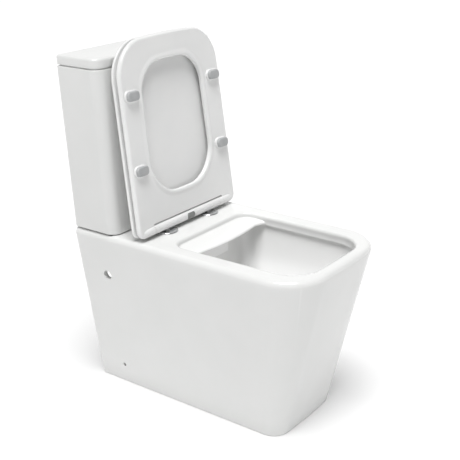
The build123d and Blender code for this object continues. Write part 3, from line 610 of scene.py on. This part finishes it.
def make_cistern():
    """Ceramic tank, open at the top, with softened edges and the holes in its floor."""
    skin = Skin()
    wall = rounded_wall(skin, cistern_outline, CISTERN_BOTTOM, CISTERN_TOP, 3.0, 3.0)
    floor_top = CISTERN_BOTTOM + CISTERN_FLOOR
    inner = [(CISTERN_TOP, CISTERN_WALL - 2), (CISTERN_TOP - 2, CISTERN_WALL)]
    inner += [(floor_top + 8, CISTERN_WALL), (floor_top + 2, CISTERN_WALL + 2), (floor_top, CISTERN_WALL + 8)]
    inner = [skin.ring(cistern_outline(z, inset), z) for z, inset in inner]
    skin.tower(wall + inner)
    skin.cap(wall[0])
    skin.cap(inner[-1])
    tank = skin.build("cistern")
    drills = []
    for x, radius in (
        (0, FLUSH_VALVE_HOLE), (FILL_VALVE_X, FILL_VALVE_HOLE),
        (-CISTERN_BOLT_X, CISTERN_BOLT_HOLE), (CISTERN_BOLT_X, CISTERN_BOLT_HOLE),
    ):
        drills.append(rod("drill", (x, VALVE_Y, CISTERN_BOTTOM - 4), (x, VALVE_Y, floor_top + 4), radius))
    combine(tank, join("drills", drills), "DIFFERENCE")
    finish_shading(tank)
    present(tank, "base", "ceramic", "glaze", "cistern")


def lid_outline(_height, inset):
    """Outline of the cistern lid, the same at every height, moved inwards by inset."""
    half_width = CISTERN_TOP_WIDTH / 2 - inset
    corner = max(CISTERN_CORNER_RADIUS - inset, 3.0)
    front_y = from_back(CISTERN_TOP_DEPTH - inset)
    return outline(half_width, half_width, BACK_Y - inset, front_y, CISTERN_REAR_RADIUS, corner)


def make_cistern_lid():
    """Ceramic lid with a shadow step, soft edges and a hole for the flush button."""
    skin = Skin()
    slab_bottom = CISTERN_TOP + LID_SHADOW_GAP
    rings = [skin.ring(lid_outline(z, inset), z) for z, inset in (
        (LID_TOP - 12, CISTERN_WALL + 12), (LID_TOP - 14, CISTERN_WALL + 8),
        (LID_BOTTOM + 1, CISTERN_WALL + 7), (LID_BOTTOM, CISTERN_WALL + 6),
        (LID_BOTTOM, CISTERN_WALL + 3), (LID_BOTTOM + 1, CISTERN_WALL + 2),
        (CISTERN_TOP, CISTERN_WALL + 2), (CISTERN_TOP, 5.0), (CISTERN_TOP + 0.5, 4.5), (slab_bottom, 4.5),
    )]
    rings += rounded_wall(skin, lid_outline, slab_bottom, LID_TOP, 2.5, 6.5)
    skin.tower(rings)
    skin.cap(rings[0])
    skin.cap(rings[-1])
    lid = skin.build("cistern_lid")
    drill = rod("drill", (0, VALVE_Y, LID_TOP - 30), (0, VALVE_Y, LID_TOP + 4), BUTTON_HOLE)
    combine(lid, drill, "DIFFERENCE")
    finish_shading(lid)
    present(lid, "tank_lid", "ceramic", "glaze", "cistern_lid")


# Seat ------------------------------------------------------------------------------------------------------

HOLE_REAR_HALF_WIDTH = 111.0
HOLE_FRONT_HALF_WIDTH = 104.0
HOLE_REAR = -80.0
HOLE_FRONT = -368.0
HOLE_REAR_RADIUS = 78.0
HOLE_FRONT_RADIUS = 64.0
PAD_SIZE, PAD_CORNER = (37.6, 21.6), 8.8
COLLAR_SIZE, COLLAR_CORNER = (43.0, 27.0), 12.5
STOP_SIZE, STOP_CORNER = (14.0, 14.0), 6.6
SEAT_SHARP_ANGLE = 40.0
PART_GAP = 0.4
SHAFT_CLEARANCE = 0.05
OPENING = Matrix.Rotation(math.radians(-OPEN_ANGLE), 4, "X")
RAISE = Matrix.Translation((0, HINGE_Y * MM, HINGE_Z * MM)) @ OPENING


def seat_outline(inset):
    """Outline of the ring and the lid, moved inwards by inset."""
    return outline(
        SEAT_REAR_HALF_WIDTH - inset, SEAT_FRONT_HALF_WIDTH - inset,
        HINGE_RADIUS - inset, SEAT_FRONT_BULGE - SEAT_LENGTH + inset,
        max(SEAT_REAR_RADIUS - inset, 6.0), SEAT_FRONT_RADIUS - inset, SEAT_FRONT_BULGE,
    )


def hole_outline(outset):
    """Outline of the hole in the ring, moved outwards by outset."""
    return outline(
        HOLE_REAR_HALF_WIDTH + outset, HOLE_FRONT_HALF_WIDTH + outset,
        HOLE_REAR + outset, HOLE_FRONT - outset,
        HOLE_REAR_RADIUS + outset, HOLE_FRONT_RADIUS + outset, 7.0, 8.0,
    )


def ring_body():
    """Seat ring lying flat: bullnosed outside, flat below, with a soft bead round the hole."""
    skin = Skin()
    rings = []
    edge = 6.2
    middle = (RING_TOP + RING_BOTTOM) / 2
    half = (RING_TOP - RING_BOTTOM) / 2
    for step in range(17):
        angle = math.pi * step / 16 - math.pi / 2
        inset = edge * (1 - math.cos(angle))
        rings.append(skin.ring(seat_outline(inset), middle + half * math.sin(angle)))
    rings.append(skin.ring(hole_outline(9.0), RING_TOP))
    rings.append(skin.ring(hole_outline(4.0), RING_TOP - 0.5))
    rings.append(skin.ring(hole_outline(1.2), RING_TOP - 2.2))
    rings.append(skin.ring(hole_outline(0.0), RING_TOP - 5.0))
    bead = [
        (0.2, RING_BOTTOM + 4.4), (1.0, RING_BOTTOM + 2.4), (2.6, RING_BOTTOM + 0.9),
        (5.0, RING_BOTTOM + 0.15), (7.6, RING_BOTTOM + 0.1), (10.6, RING_BOTTOM + 0.9),
        (13.6, RING_BOTTOM + 1.7), (17.0, RING_BOTTOM + 1.9),
    ]
    for outset, z in bead:
        rings.append(skin.ring(hole_outline(outset), z))
    rings.append(skin.ring(seat_outline(20.0), RING_BOTTOM + 1.2))
    rings.append(skin.ring(seat_outline(11.0), RING_BOTTOM + 0.5))
    skin.tower(rings + [rings[0]])
    return skin.build("seat_ring", 50.0)


def make_ring():
    """Seat ring with its knuckles and the collars that carry the buffers."""
    ring = ring_body()
    notch = box_piece("notch", (-KNUCKLE_SPLIT, KNUCKLE_SPLIT), (-SLIT_DEPTH, 30), (-40, 40))
    combine(ring, notch, "DIFFERENCE")
    full = HINGE_RADIUS - 0.1
    for side in (-1, 1):
        profile = [
            (0.0, 0.0), (full - 0.8, 0.0), (full, 0.8),
            (full, RING_KNUCKLE_END - KNUCKLE_SPLIT - 6), (full - 0.5, 24.0),
            (full - 1.4, 30.0), (full - 2.6, 36.0), (full - 4.0, 41.0), (full - 6.0, 45.0), (0.0, 47.0),
        ]
        start = (side * (KNUCKLE_SPLIT + 0.1), 0, 0)
        combine(ring, turned("knuckle", profile, start, (side, 0, 0)), "UNION")
        for x, y in RING_BUFFERS:
            collar = soft_pad(
                "collar", side * x, y, COLLAR_SIZE, COLLAR_CORNER, RING_BOTTOM - 3.4, RING_BOTTOM + 3.0, 3.0
            )
            combine(ring, collar, "UNION")
    bore_end = RING_KNUCKLE_END - 3.5
    bore = rod("bore", (-bore_end, 0, 0), (bore_end, 0, 0), SHAFT_RADIUS + SHAFT_CLEARANCE)
    combine(ring, bore, "DIFFERENCE")
    raise_and_present(ring, "ring", "seat_plastic", "seat", "seat_ring")


def soft_pad(name, x, y, size, corner, low_z, high_z, edge):
    """Rounded pad with a softened lower edge."""
    width, depth = size
    skin = Skin()

    def pad_outline(inset):
        flat = outline(
            width / 2 - inset, width / 2 - inset, depth / 2 - inset, inset - depth / 2,
            corner - inset, corner - inset,
        )
        return [point + Vector((x, y)) for point in flat]

    rings = []
    for step in range(7):
        angle = math.pi / 2 * step / 6
        z = low_z + edge * (1 - math.sin(angle))
        rings.append(skin.ring(pad_outline(edge * (1 - math.cos(angle))), z))
    rings.reverse()
    rings.append(skin.ring(pad_outline(0.0), high_z))
    skin.tower(rings)
    skin.cap(rings[0])
    skin.cap(rings[-1])
    return skin.build(name, SEAT_SHARP_ANGLE)


def raise_and_present(piece, body, slot_name, paint_name, *nodes):
    """Swing a piece that was made lying flat up to its raised place and show it."""
    finish_shading(piece, SEAT_SHARP_ANGLE)
    piece.data.transform(RAISE)
    present(piece, body, slot_name, paint_name, *nodes)


def make_lid():
    """Thin seat lid with an arm and a knuckle at each end of the hinge bar."""
    skin = Skin()

    def outline_at(_height, inset):
        return seat_outline(inset)

    rings = rounded_wall(skin, outline_at, SEAT_LID_BOTTOM, SEAT_LID_TOP, 3.2, 4.0)
    skin.tower(rings)
    skin.cap(rings[0])
    skin.cap(rings[-1])
    lid = skin.build("seat_lid", SEAT_SHARP_ANGLE)
    radius = HINGE_RADIUS - 0.1
    low_x, high_x = HOUSING_HALF_LENGTH + PART_GAP, KNUCKLE_SPLIT - PART_GAP
    for side in (-1, 1):
        x_span = sorted((side * low_x, side * high_x))
        arm = box_piece("arm", x_span, (-10, 10), (0, SEAT_LID_BOTTOM + 1))
        combine(arm, rod("knuckle", (x_span[0], 0, 0), (x_span[1], 0, 0), radius), "UNION")
        combine(lid, arm, "UNION")
        bore = rod("bore", (x_span[0] - 1, 0, 0), (x_span[1] + 1, 0, 0), SHAFT_RADIUS + SHAFT_CLEARANCE)
        combine(lid, bore, "DIFFERENCE")
    raise_and_present(lid, "lid", "seat_plastic", "seat", "seat_lid")


def make_buffers():
    """Grey buffers under the ring and small ones under the lid."""
    pads, stops = [], []
    foot = RING_BOTTOM - (HINGE_Z - PAN_HEIGHT + RING_BOTTOM - 0.3)
    for side in (-1, 1):
        for x, y in RING_BUFFERS:
            pads.append(soft_pad("pad", side * x, y, PAD_SIZE, PAD_CORNER, foot, RING_BOTTOM - 1.5, 3.4))
        for x, y in LID_BUFFERS:
            stop = soft_pad("stop", side * x, y, STOP_SIZE, STOP_CORNER, RING_TOP + 0.3, SEAT_LID_BOTTOM, 1.6)
            stops.append(stop)
    raise_and_present(join("ring_bumpers", pads), "ring", "buffer_grey", "buffer", "ring_bumpers")
    raise_and_present(join("lid_bumpers", stops), "lid", "buffer_grey", "buffer", "lid_bumpers")


# Hinge bar and its cover discs -----------------------------------------------------------------------------

BUTTON_HALF_WIDTH = 13.4
BUTTON_HALF_HEIGHT = 7.0
BUTTON_CORNER = 5.2
BUTTON_PROUD = 0.6
WELL_GAP = 0.5
POST_SOCKET_RADIUS = 6.05
DAMPER_START = 88.0
DAMPER_RADIUS = 8.2
BAR_STEPS = 96
DISC_PROFILE = [
    (6.0, 0.0), (25.4, 0.0), (25.9, 0.25), (26.0, 0.8), (25.9, 1.9), (25.5, 2.6), (24.8, 3.1), (23.6, 3.35),
    (20.0, 3.45), (12.0, 3.5), (6.0, 3.5), (6.0, 0.0),
]


def make_hinge_bar():
    """Round hinge bar with softened ends, post sockets and the well of the release button."""
    half = HOUSING_HALF_LENGTH
    profile = [(0.0, 0.0), (HINGE_RADIUS - 0.9, 0.0), (HINGE_RADIUS - 0.25, 0.25), (HINGE_RADIUS, 0.9)]
    profile += [(radius, 2 * half - height) for radius, height in reversed(profile)]
    bar = turned("hinge_housing", profile, (-half, HINGE_Y, HINGE_Z), (1, 0, 0), BAR_STEPS)
    well = button_block(
        "well", BUTTON_HALF_WIDTH + WELL_GAP, BUTTON_HALF_HEIGHT + WELL_GAP, BUTTON_CORNER + WELL_GAP,
        -20.0, -3.5,
    )
    combine(bar, well, "DIFFERENCE")
    for side in (-1, 1):
        x = side * HINGE_POST_X
        socket = rod("socket", (x, HINGE_Y, HINGE_Z - 20), (x, HINGE_Y, HINGE_Z + 4.5), POST_SOCKET_RADIUS)
        combine(bar, socket, "DIFFERENCE")
        near, far = side * DAMPER_START, side * (half + 2)
        can = rod("can", (near, HINGE_Y, HINGE_Z), (far, HINGE_Y, HINGE_Z), DAMPER_RADIUS)
        combine(bar, can, "DIFFERENCE")
    finish_shading(bar, 30.0)
    present(bar, "hinge_carrier", "seat_plastic", "seat", "hinge_housing")


def button_block(name, half_width, half_height, corner, front, back):
    """Upright block with a rounded outline seen from the front, between two depths from the hinge axis."""
    skin = Skin()
    flat = outline(half_width, half_width, half_height, -half_height, corner, corner)
    rings = []
    for depth in (front, back):
        rings.append(skin.path([(point.x, HINGE_Y + depth, HINGE_Z + point.y) for point in flat]))
    skin.tower(rings)
    skin.cap(rings[0])
    skin.cap(rings[-1])
    return skin.build(name)


def make_release_button():
    """Grey button whose face follows the hinge bar, with rounded corners and a softened rim."""
    skin = Skin()
    face_radius = HINGE_RADIUS + BUTTON_PROUD
    rings = []
    for inset, sink in ((0.0, 4.0), (0.0, 0.9), (0.25, 0.4), (0.7, 0.1), (1.4, 0.0), (3.0, 0.0), (5.0, 0.0)):
        flat = outline(
            BUTTON_HALF_WIDTH - inset, BUTTON_HALF_WIDTH - inset, BUTTON_HALF_HEIGHT - inset,
            inset - BUTTON_HALF_HEIGHT, max(BUTTON_CORNER - inset, 1.0), max(BUTTON_CORNER - inset, 1.0),
        )
        points = []
        for point in flat:
            y = -math.sqrt(face_radius ** 2 - point.y ** 2) + sink
            y = min(y, -7.6) if sink < 4.0 else -7.5
            points.append((point.x, HINGE_Y + y, HINGE_Z + point.y))
        rings.append(skin.path(points))
    skin.tower(rings)
    skin.cap(rings[0])
    skin.cap(rings[-1])
    button = skin.build("release_button", SEAT_SHARP_ANGLE)
    present(button, "release", "buffer_grey", "button_grey", "release_button")


def make_discs():
    """Two thin chromed cover discs on the deck."""
    discs = []
    for side in (-1, 1):
        place = (side * HINGE_POST_X, HINGE_Y, PAN_HEIGHT)
        discs.append(turned("disc", DISC_PROFILE, place, steps=BAR_STEPS))
    both = join("hinge_discs", discs)
    finish_shading(both)
    present(both, "base", "chrome", "chrome", "hinge_discs")


# Materials -------------------------------------------------------------------------------------------------

# Painted light inside the bowl: a whiter colour than the outside glaze stands in for the light there. It fades
# out over BOWL_FADE, the reach from the bowl's middle (1 at the mouth) less BOWL_LEAN times the height in
# metres, and over SHELF_FADE, a span of height in metres.
BOWL_PAINTED_LIGHT = (0.97, 0.97, 0.966, 1.0)
BOWL_LEAN = 1.1
BOWL_FADE = (0.56, 0.63)
SHELF_FADE = (0.401, 0.409)


def nodes_of(name):
    """New material with its node tree and its shader."""
    material = bpy.data.materials.new(name)
    material.use_nodes = True
    tree = material.node_tree
    return material, tree, tree.nodes["Principled BSDF"]


def noise(tree, place, scale, detail=3.0, roughness=0.5):
    """Noise over the piece's own coordinates, in features per metre."""
    node = tree.nodes.new("ShaderNodeTexNoise")
    node.inputs["Scale"].default_value = scale
    node.inputs["Detail"].default_value = detail
    node.inputs["Roughness"].default_value = roughness
    tree.links.new(place, node.inputs["Vector"])
    return node.outputs["Fac"]


def spread(tree, value, low, high, start=0.3, end=0.7):
    """Map a value from start to end onto low to high."""
    node = tree.nodes.new("ShaderNodeMapRange")
    node.inputs["From Min"].default_value = start
    node.inputs["From Max"].default_value = end
    node.inputs["To Min"].default_value = low
    node.inputs["To Max"].default_value = high
    tree.links.new(value, node.inputs["Value"])
    return node.outputs["Result"]


def blended(tree, value, low, high):
    """Colour that varies between two tones."""
    ramp = tree.nodes.new("ShaderNodeValToRGB")
    ramp.color_ramp.elements[0].position = 0.3
    ramp.color_ramp.elements[1].position = 0.7
    ramp.color_ramp.elements[0].color = (*low, 1.0)
    ramp.color_ramp.elements[1].color = (*high, 1.0)
    tree.links.new(value, ramp.inputs["Fac"])
    return ramp.outputs["Color"]


def relief(tree, height, distance, strength, normal=None):
    """Bump from a height value, with its depth in metres."""
    bump = tree.nodes.new("ShaderNodeBump")
    bump.inputs["Strength"].default_value = strength
    bump.inputs["Distance"].default_value = distance
    tree.links.new(height, bump.inputs["Height"])
    if normal is not None:
        tree.links.new(normal, bump.inputs["Normal"])
    return bump.outputs["Normal"]


def coating(name, tones, gloss, tone_scale, grain, wave=None, stretch=None, **shader_values):
    """Material with varied colour, varied roughness and fine relief.

    tones are the two colours and gloss is the roughness range. grain and wave are each a scale, a depth in
    metres and a strength.
    """
    material, tree, shader = nodes_of(name)
    place = tree.nodes.new("ShaderNodeTexCoord").outputs["Object"]
    if stretch is not None:
        mapping = tree.nodes.new("ShaderNodeMapping")
        mapping.inputs["Scale"].default_value = stretch
        tree.links.new(place, mapping.inputs["Vector"])
        place = mapping.outputs["Vector"]
    cloud = noise(tree, place, tone_scale)
    tree.links.new(blended(tree, cloud, *tones), shader.inputs["Base Color"])
    smear = noise(tree, place, tone_scale * 3.1, 4.0, 0.6)
    tree.links.new(spread(tree, smear, *gloss), shader.inputs["Roughness"])
    normal = relief(tree, noise(tree, place, grain[0], 2.0), grain[1], grain[2])
    if wave is not None:
        normal = relief(tree, noise(tree, place, wave[0], 1.0), wave[1], wave[2], normal)
    tree.links.new(normal, shader.inputs["Normal"])
    for label, value in shader_values.items():
        shader.inputs[label.replace("_", " ")].default_value = value
    return material


def paint_light_in_bowl(material):
    """Paint light into the bowl: a whiter colour inside it, below its rim and its shelf, stands in for its
    light.
    """
    tree = material.node_tree
    shader = tree.nodes["Principled BSDF"]
    outside = shader.inputs["Base Color"].links[0].from_socket
    middle_y = from_back((BOWL_REAR + BOWL_FRONT) / 2) * MM
    half_length = (BOWL_FRONT - BOWL_REAR) / 2 * MM
    half_width = BOWL_HALF_WIDTH * MM
    place = tree.nodes.new("ShaderNodeTexCoord").outputs["Object"]
    mapping = tree.nodes.new("ShaderNodeMapping")
    mapping.inputs["Scale"].default_value = (1 / half_width, 1 / half_length, 1.0)
    mapping.inputs["Location"].default_value = (0.0, -middle_y / half_length, 0.0)
    tree.links.new(place, mapping.inputs["Vector"])
    size = tree.nodes.new("ShaderNodeVectorMath")
    size.operation = "ABSOLUTE"
    tree.links.new(mapping.outputs["Vector"], size.inputs[0])
    split = tree.nodes.new("ShaderNodeSeparateXYZ")
    tree.links.new(size.outputs["Vector"], split.inputs["Vector"])
    widest = tree.nodes.new("ShaderNodeMath")
    widest.operation = "MAXIMUM"
    tree.links.new(split.outputs["X"], widest.inputs[0])
    tree.links.new(split.outputs["Y"], widest.inputs[1])
    leaning = tree.nodes.new("ShaderNodeMath")
    leaning.operation = "MULTIPLY_ADD"
    leaning.inputs[1].default_value = -BOWL_LEAN
    tree.links.new(split.outputs["Z"], leaning.inputs[0])
    tree.links.new(widest.outputs["Value"], leaning.inputs[2])
    across = spread(tree, leaning.outputs["Value"], 1.0, 0.0, *BOWL_FADE)
    below_shelf = spread(tree, split.outputs["Z"], 1.0, 0.0, *SHELF_FADE)
    both = tree.nodes.new("ShaderNodeMath")
    both.operation = "MULTIPLY"
    tree.links.new(across, both.inputs[0])
    tree.links.new(below_shelf, both.inputs[1])
    # Painted light: the mix puts the whiter colour inside the bowl in place of the glaze's own tone.
    mix = tree.nodes.new("ShaderNodeMix")
    mix.data_type = "RGBA"
    tree.links.new(both.outputs["Value"], mix.inputs["Factor"])
    tree.links.new(outside, mix.inputs[6])
    mix.inputs[7].default_value = BOWL_PAINTED_LIGHT
    tree.links.new(mix.outputs[2], shader.inputs["Base Color"])
    return material


def make_materials():
    """Every finish on the object, by name."""
    return {
        "glaze": coating(
            "white_glaze", ((0.762, 0.767, 0.757), (0.785, 0.787, 0.779)), (0.08, 0.14), 9.0,
            (420.0, 0.00002, 0.12), (26.0, 0.0002, 0.10), Coat_Weight=0.15, Coat_Roughness=0.06, IOR=1.5,
        ),
        # The pan's glaze is a lighter copy of the white glaze: painted light, with more painted light inside
        # the bowl.
        "pan_glaze_painted_light": paint_light_in_bowl(coating(
            "pan_glaze_painted_light", ((0.785, 0.79, 0.78), (0.808, 0.81, 0.802)), (0.08, 0.14), 9.0,
            (420.0, 0.00002, 0.12), (26.0, 0.0002, 0.10), Coat_Weight=0.15, Coat_Roughness=0.06, IOR=1.5,
        )),
        # Unglazed clay, painted near-black as the shade inside the skirt.
        "bare_clay_painted_shade": coating(
            "bare_clay_painted_shade", ((0.10, 0.095, 0.088), (0.16, 0.152, 0.14)), (0.7, 0.9), 30.0, (500.0, 0.00015, 0.5),
        ),
        "seat": coating(
            "seat_thermoset", ((0.83, 0.833, 0.83), (0.855, 0.856, 0.85)), (0.16, 0.24), 14.0,
            (900.0, 0.00001, 0.10), (34.0, 0.0001, 0.08), Coat_Weight=0.2, Coat_Roughness=0.12, IOR=1.5,
        ),
        "buffer": coating(
            "buffer_grey", ((0.40, 0.41, 0.415), (0.46, 0.465, 0.47)), (0.42, 0.56), 60.0,
            (1800.0, 0.00003, 0.35),
        ),
        "button_grey": coating(
            "button_grey", ((0.20, 0.205, 0.20), (0.245, 0.25, 0.245)), (0.34, 0.46), 70.0,
            (1800.0, 0.00003, 0.3),
        ),
        "chrome": coating(
            "polished_chrome", ((0.78, 0.79, 0.80), (0.84, 0.845, 0.85)), (0.05, 0.11), 40.0,
            (900.0, 0.000008, 0.2), Metallic=1.0,
        ),
        "steel": coating(
            "stainless_steel", ((0.50, 0.50, 0.50), (0.62, 0.62, 0.615)), (0.24, 0.40), 60.0,
            (700.0, 0.00002, 0.4), stretch=(1.0, 1.0, 0.12), Metallic=1.0,
        ),
        "spring": coating(
            "spring_wire", ((0.42, 0.42, 0.43), (0.54, 0.54, 0.55)), (0.22, 0.36), 120.0,
            (1600.0, 0.00002, 0.4), Metallic=1.0,
        ),
        "rubber": coating(
            "black_rubber", ((0.018, 0.018, 0.019), (0.035, 0.035, 0.036)), (0.6, 0.8), 80.0,
            (1500.0, 0.00006, 0.5),
        ),
        "valve_white": coating(
            "valve_white", ((0.70, 0.71, 0.70), (0.76, 0.765, 0.755)), (0.32, 0.46), 50.0,
            (1300.0, 0.00003, 0.35),
        ),
        "valve_grey": coating(
            "valve_grey", ((0.12, 0.15, 0.19), (0.16, 0.19, 0.235)), (0.34, 0.48), 50.0,
            (1300.0, 0.00003, 0.35),
        ),
    }


SLOT_PAINT = {
    "ceramic": "glaze", "seat_plastic": "seat", "buffer_grey": "buffer", "chrome": "chrome", "steel": "steel",
    "spring_steel": "spring", "rubber": "rubber",
    "white_plastic": "valve_white", "grey_plastic": "valve_grey",
}


def present(piece, body, slot_name, paint_name, *nodes):
    """Give a finished piece its material and its body, and hide the CAD nodes that it stands for."""
    piece.data.materials.clear()
    piece.data.materials.append(MATERIALS[paint_name])
    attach(piece, body)
    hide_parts(*nodes)


def paint_cad_nodes():
    """Give every CAD node the finish of its material slot."""
    for entry in frame["record"]["subparts"]:
        node = frame["nodes"][entry["node"]]
        material = MATERIALS[SLOT_PAINT[entry["material_slot"]]]
        if not node.material_slots:
            node.data.materials.append(material)
        for material_slot in node.material_slots:
            material_slot.material = material


# Studio ----------------------------------------------------------------------------------------------------

CAMERA_PLACE = Vector((-1.63988, -1.23022, 1.20412))
CAMERA_YAW = 0.9285
CAMERA_PITCH = 0.3633
CAMERA_ROLL = -0.0118
CAMERA_LENS = 73.61
FLOOR_REACH = 40000.0
FLOOR_TONES = (0.835, 0.835, 0.835), (0.845, 0.845, 0.845)
FLOOR_GLOW = 0.09
BACKDROP_DIRECTION = (0.80, 0.60, 0.0)
BACKDROP_STRENGTHS = (0.22, 0.85)
BACKDROP_SPAN = (0.45, 0.9)
SUN_DIRECTION = (-0.27, -0.15, 0.95)
SUN_STRENGTH = 3.05
SUN_ANGLE = 0.6


def make_camera():
    """Camera at the viewing angle, turned right from +Y by the yaw and down by the pitch."""
    forward = Vector((
        math.sin(CAMERA_YAW) * math.cos(CAMERA_PITCH), math.cos(CAMERA_YAW) * math.cos(CAMERA_PITCH),
        -math.sin(CAMERA_PITCH),
    ))
    level = Vector((math.cos(CAMERA_YAW), -math.sin(CAMERA_YAW), 0.0))
    upright = level.cross(forward)
    right = level * math.cos(CAMERA_ROLL) + upright * math.sin(CAMERA_ROLL)
    up = upright * math.cos(CAMERA_ROLL) - level * math.sin(CAMERA_ROLL)
    data = bpy.data.cameras.new("camera")
    data.lens = CAMERA_LENS
    data.sensor_width = 36.0
    camera = bpy.data.objects.new("camera", data)
    bpy.context.scene.collection.objects.link(camera)
    turn = Matrix((right, up, -forward)).transposed().to_4x4()
    camera.matrix_world = Matrix.Translation(CAMERA_PLACE) @ turn
    bpy.context.scene.camera = camera


def soft_sun(name, toward, strength, angle):
    """Even light from one direction, with soft shadows."""
    data = bpy.data.lights.new(name, "SUN")
    data.energy = strength
    data.angle = angle
    light = bpy.data.objects.new(name, data)
    bpy.context.scene.collection.objects.link(light)
    light.matrix_world = Vector(toward).to_track_quat("Z", "Y").to_matrix().to_4x4()


def make_studio():
    """Pale floor, surroundings that are brighter behind the object, and soft light from nearly overhead."""
    skin = Skin()
    reach = FLOOR_REACH
    floor = skin.ring([(-reach, -reach), (reach, -reach), (reach, reach), (-reach, reach)], -0.2)
    skin.cap(floor)
    ground = skin.build("floor")
    material, tree, shader = nodes_of("pale_floor")
    place = tree.nodes.new("ShaderNodeTexCoord").outputs["Object"]
    cloud = noise(tree, place, 0.8)
    tree.links.new(blended(tree, cloud, *FLOOR_TONES), shader.inputs["Base Color"])
    shader.inputs["Roughness"].default_value = 0.9
    shader.inputs["Emission Color"].default_value = (1.0, 1.0, 1.0, 1.0)
    shader.inputs["Emission Strength"].default_value = FLOOR_GLOW
    ground.data.materials.append(material)
    world = bpy.data.worlds.new("surroundings")
    world.use_nodes = True
    background = world.node_tree.nodes["Background"]
    background.inputs["Color"].default_value = (1.0, 1.0, 1.0, 1.0)
    place = world.node_tree.nodes.new("ShaderNodeTexCoord").outputs["Generated"]
    toward = world.node_tree.nodes.new("ShaderNodeVectorMath")
    toward.operation = "DOT_PRODUCT"
    toward.inputs[1].default_value = BACKDROP_DIRECTION
    world.node_tree.links.new(place, toward.inputs[0])
    strength = spread(world.node_tree, toward.outputs["Value"], *BACKDROP_STRENGTHS, *BACKDROP_SPAN)
    world.node_tree.links.new(strength, background.inputs["Strength"])
    bpy.context.scene.world = world
    soft_sun("key", SUN_DIRECTION, SUN_STRENGTH, SUN_ANGLE)
    bpy.context.scene.view_settings.view_transform = "Standard"


MATERIALS = make_materials()
paint_cad_nodes()
make_pan()
make_cistern()
make_cistern_lid()
make_ring()
make_lid()
make_buffers()
make_hinge_bar()
make_release_button()
make_discs()
make_camera()
make_studio()
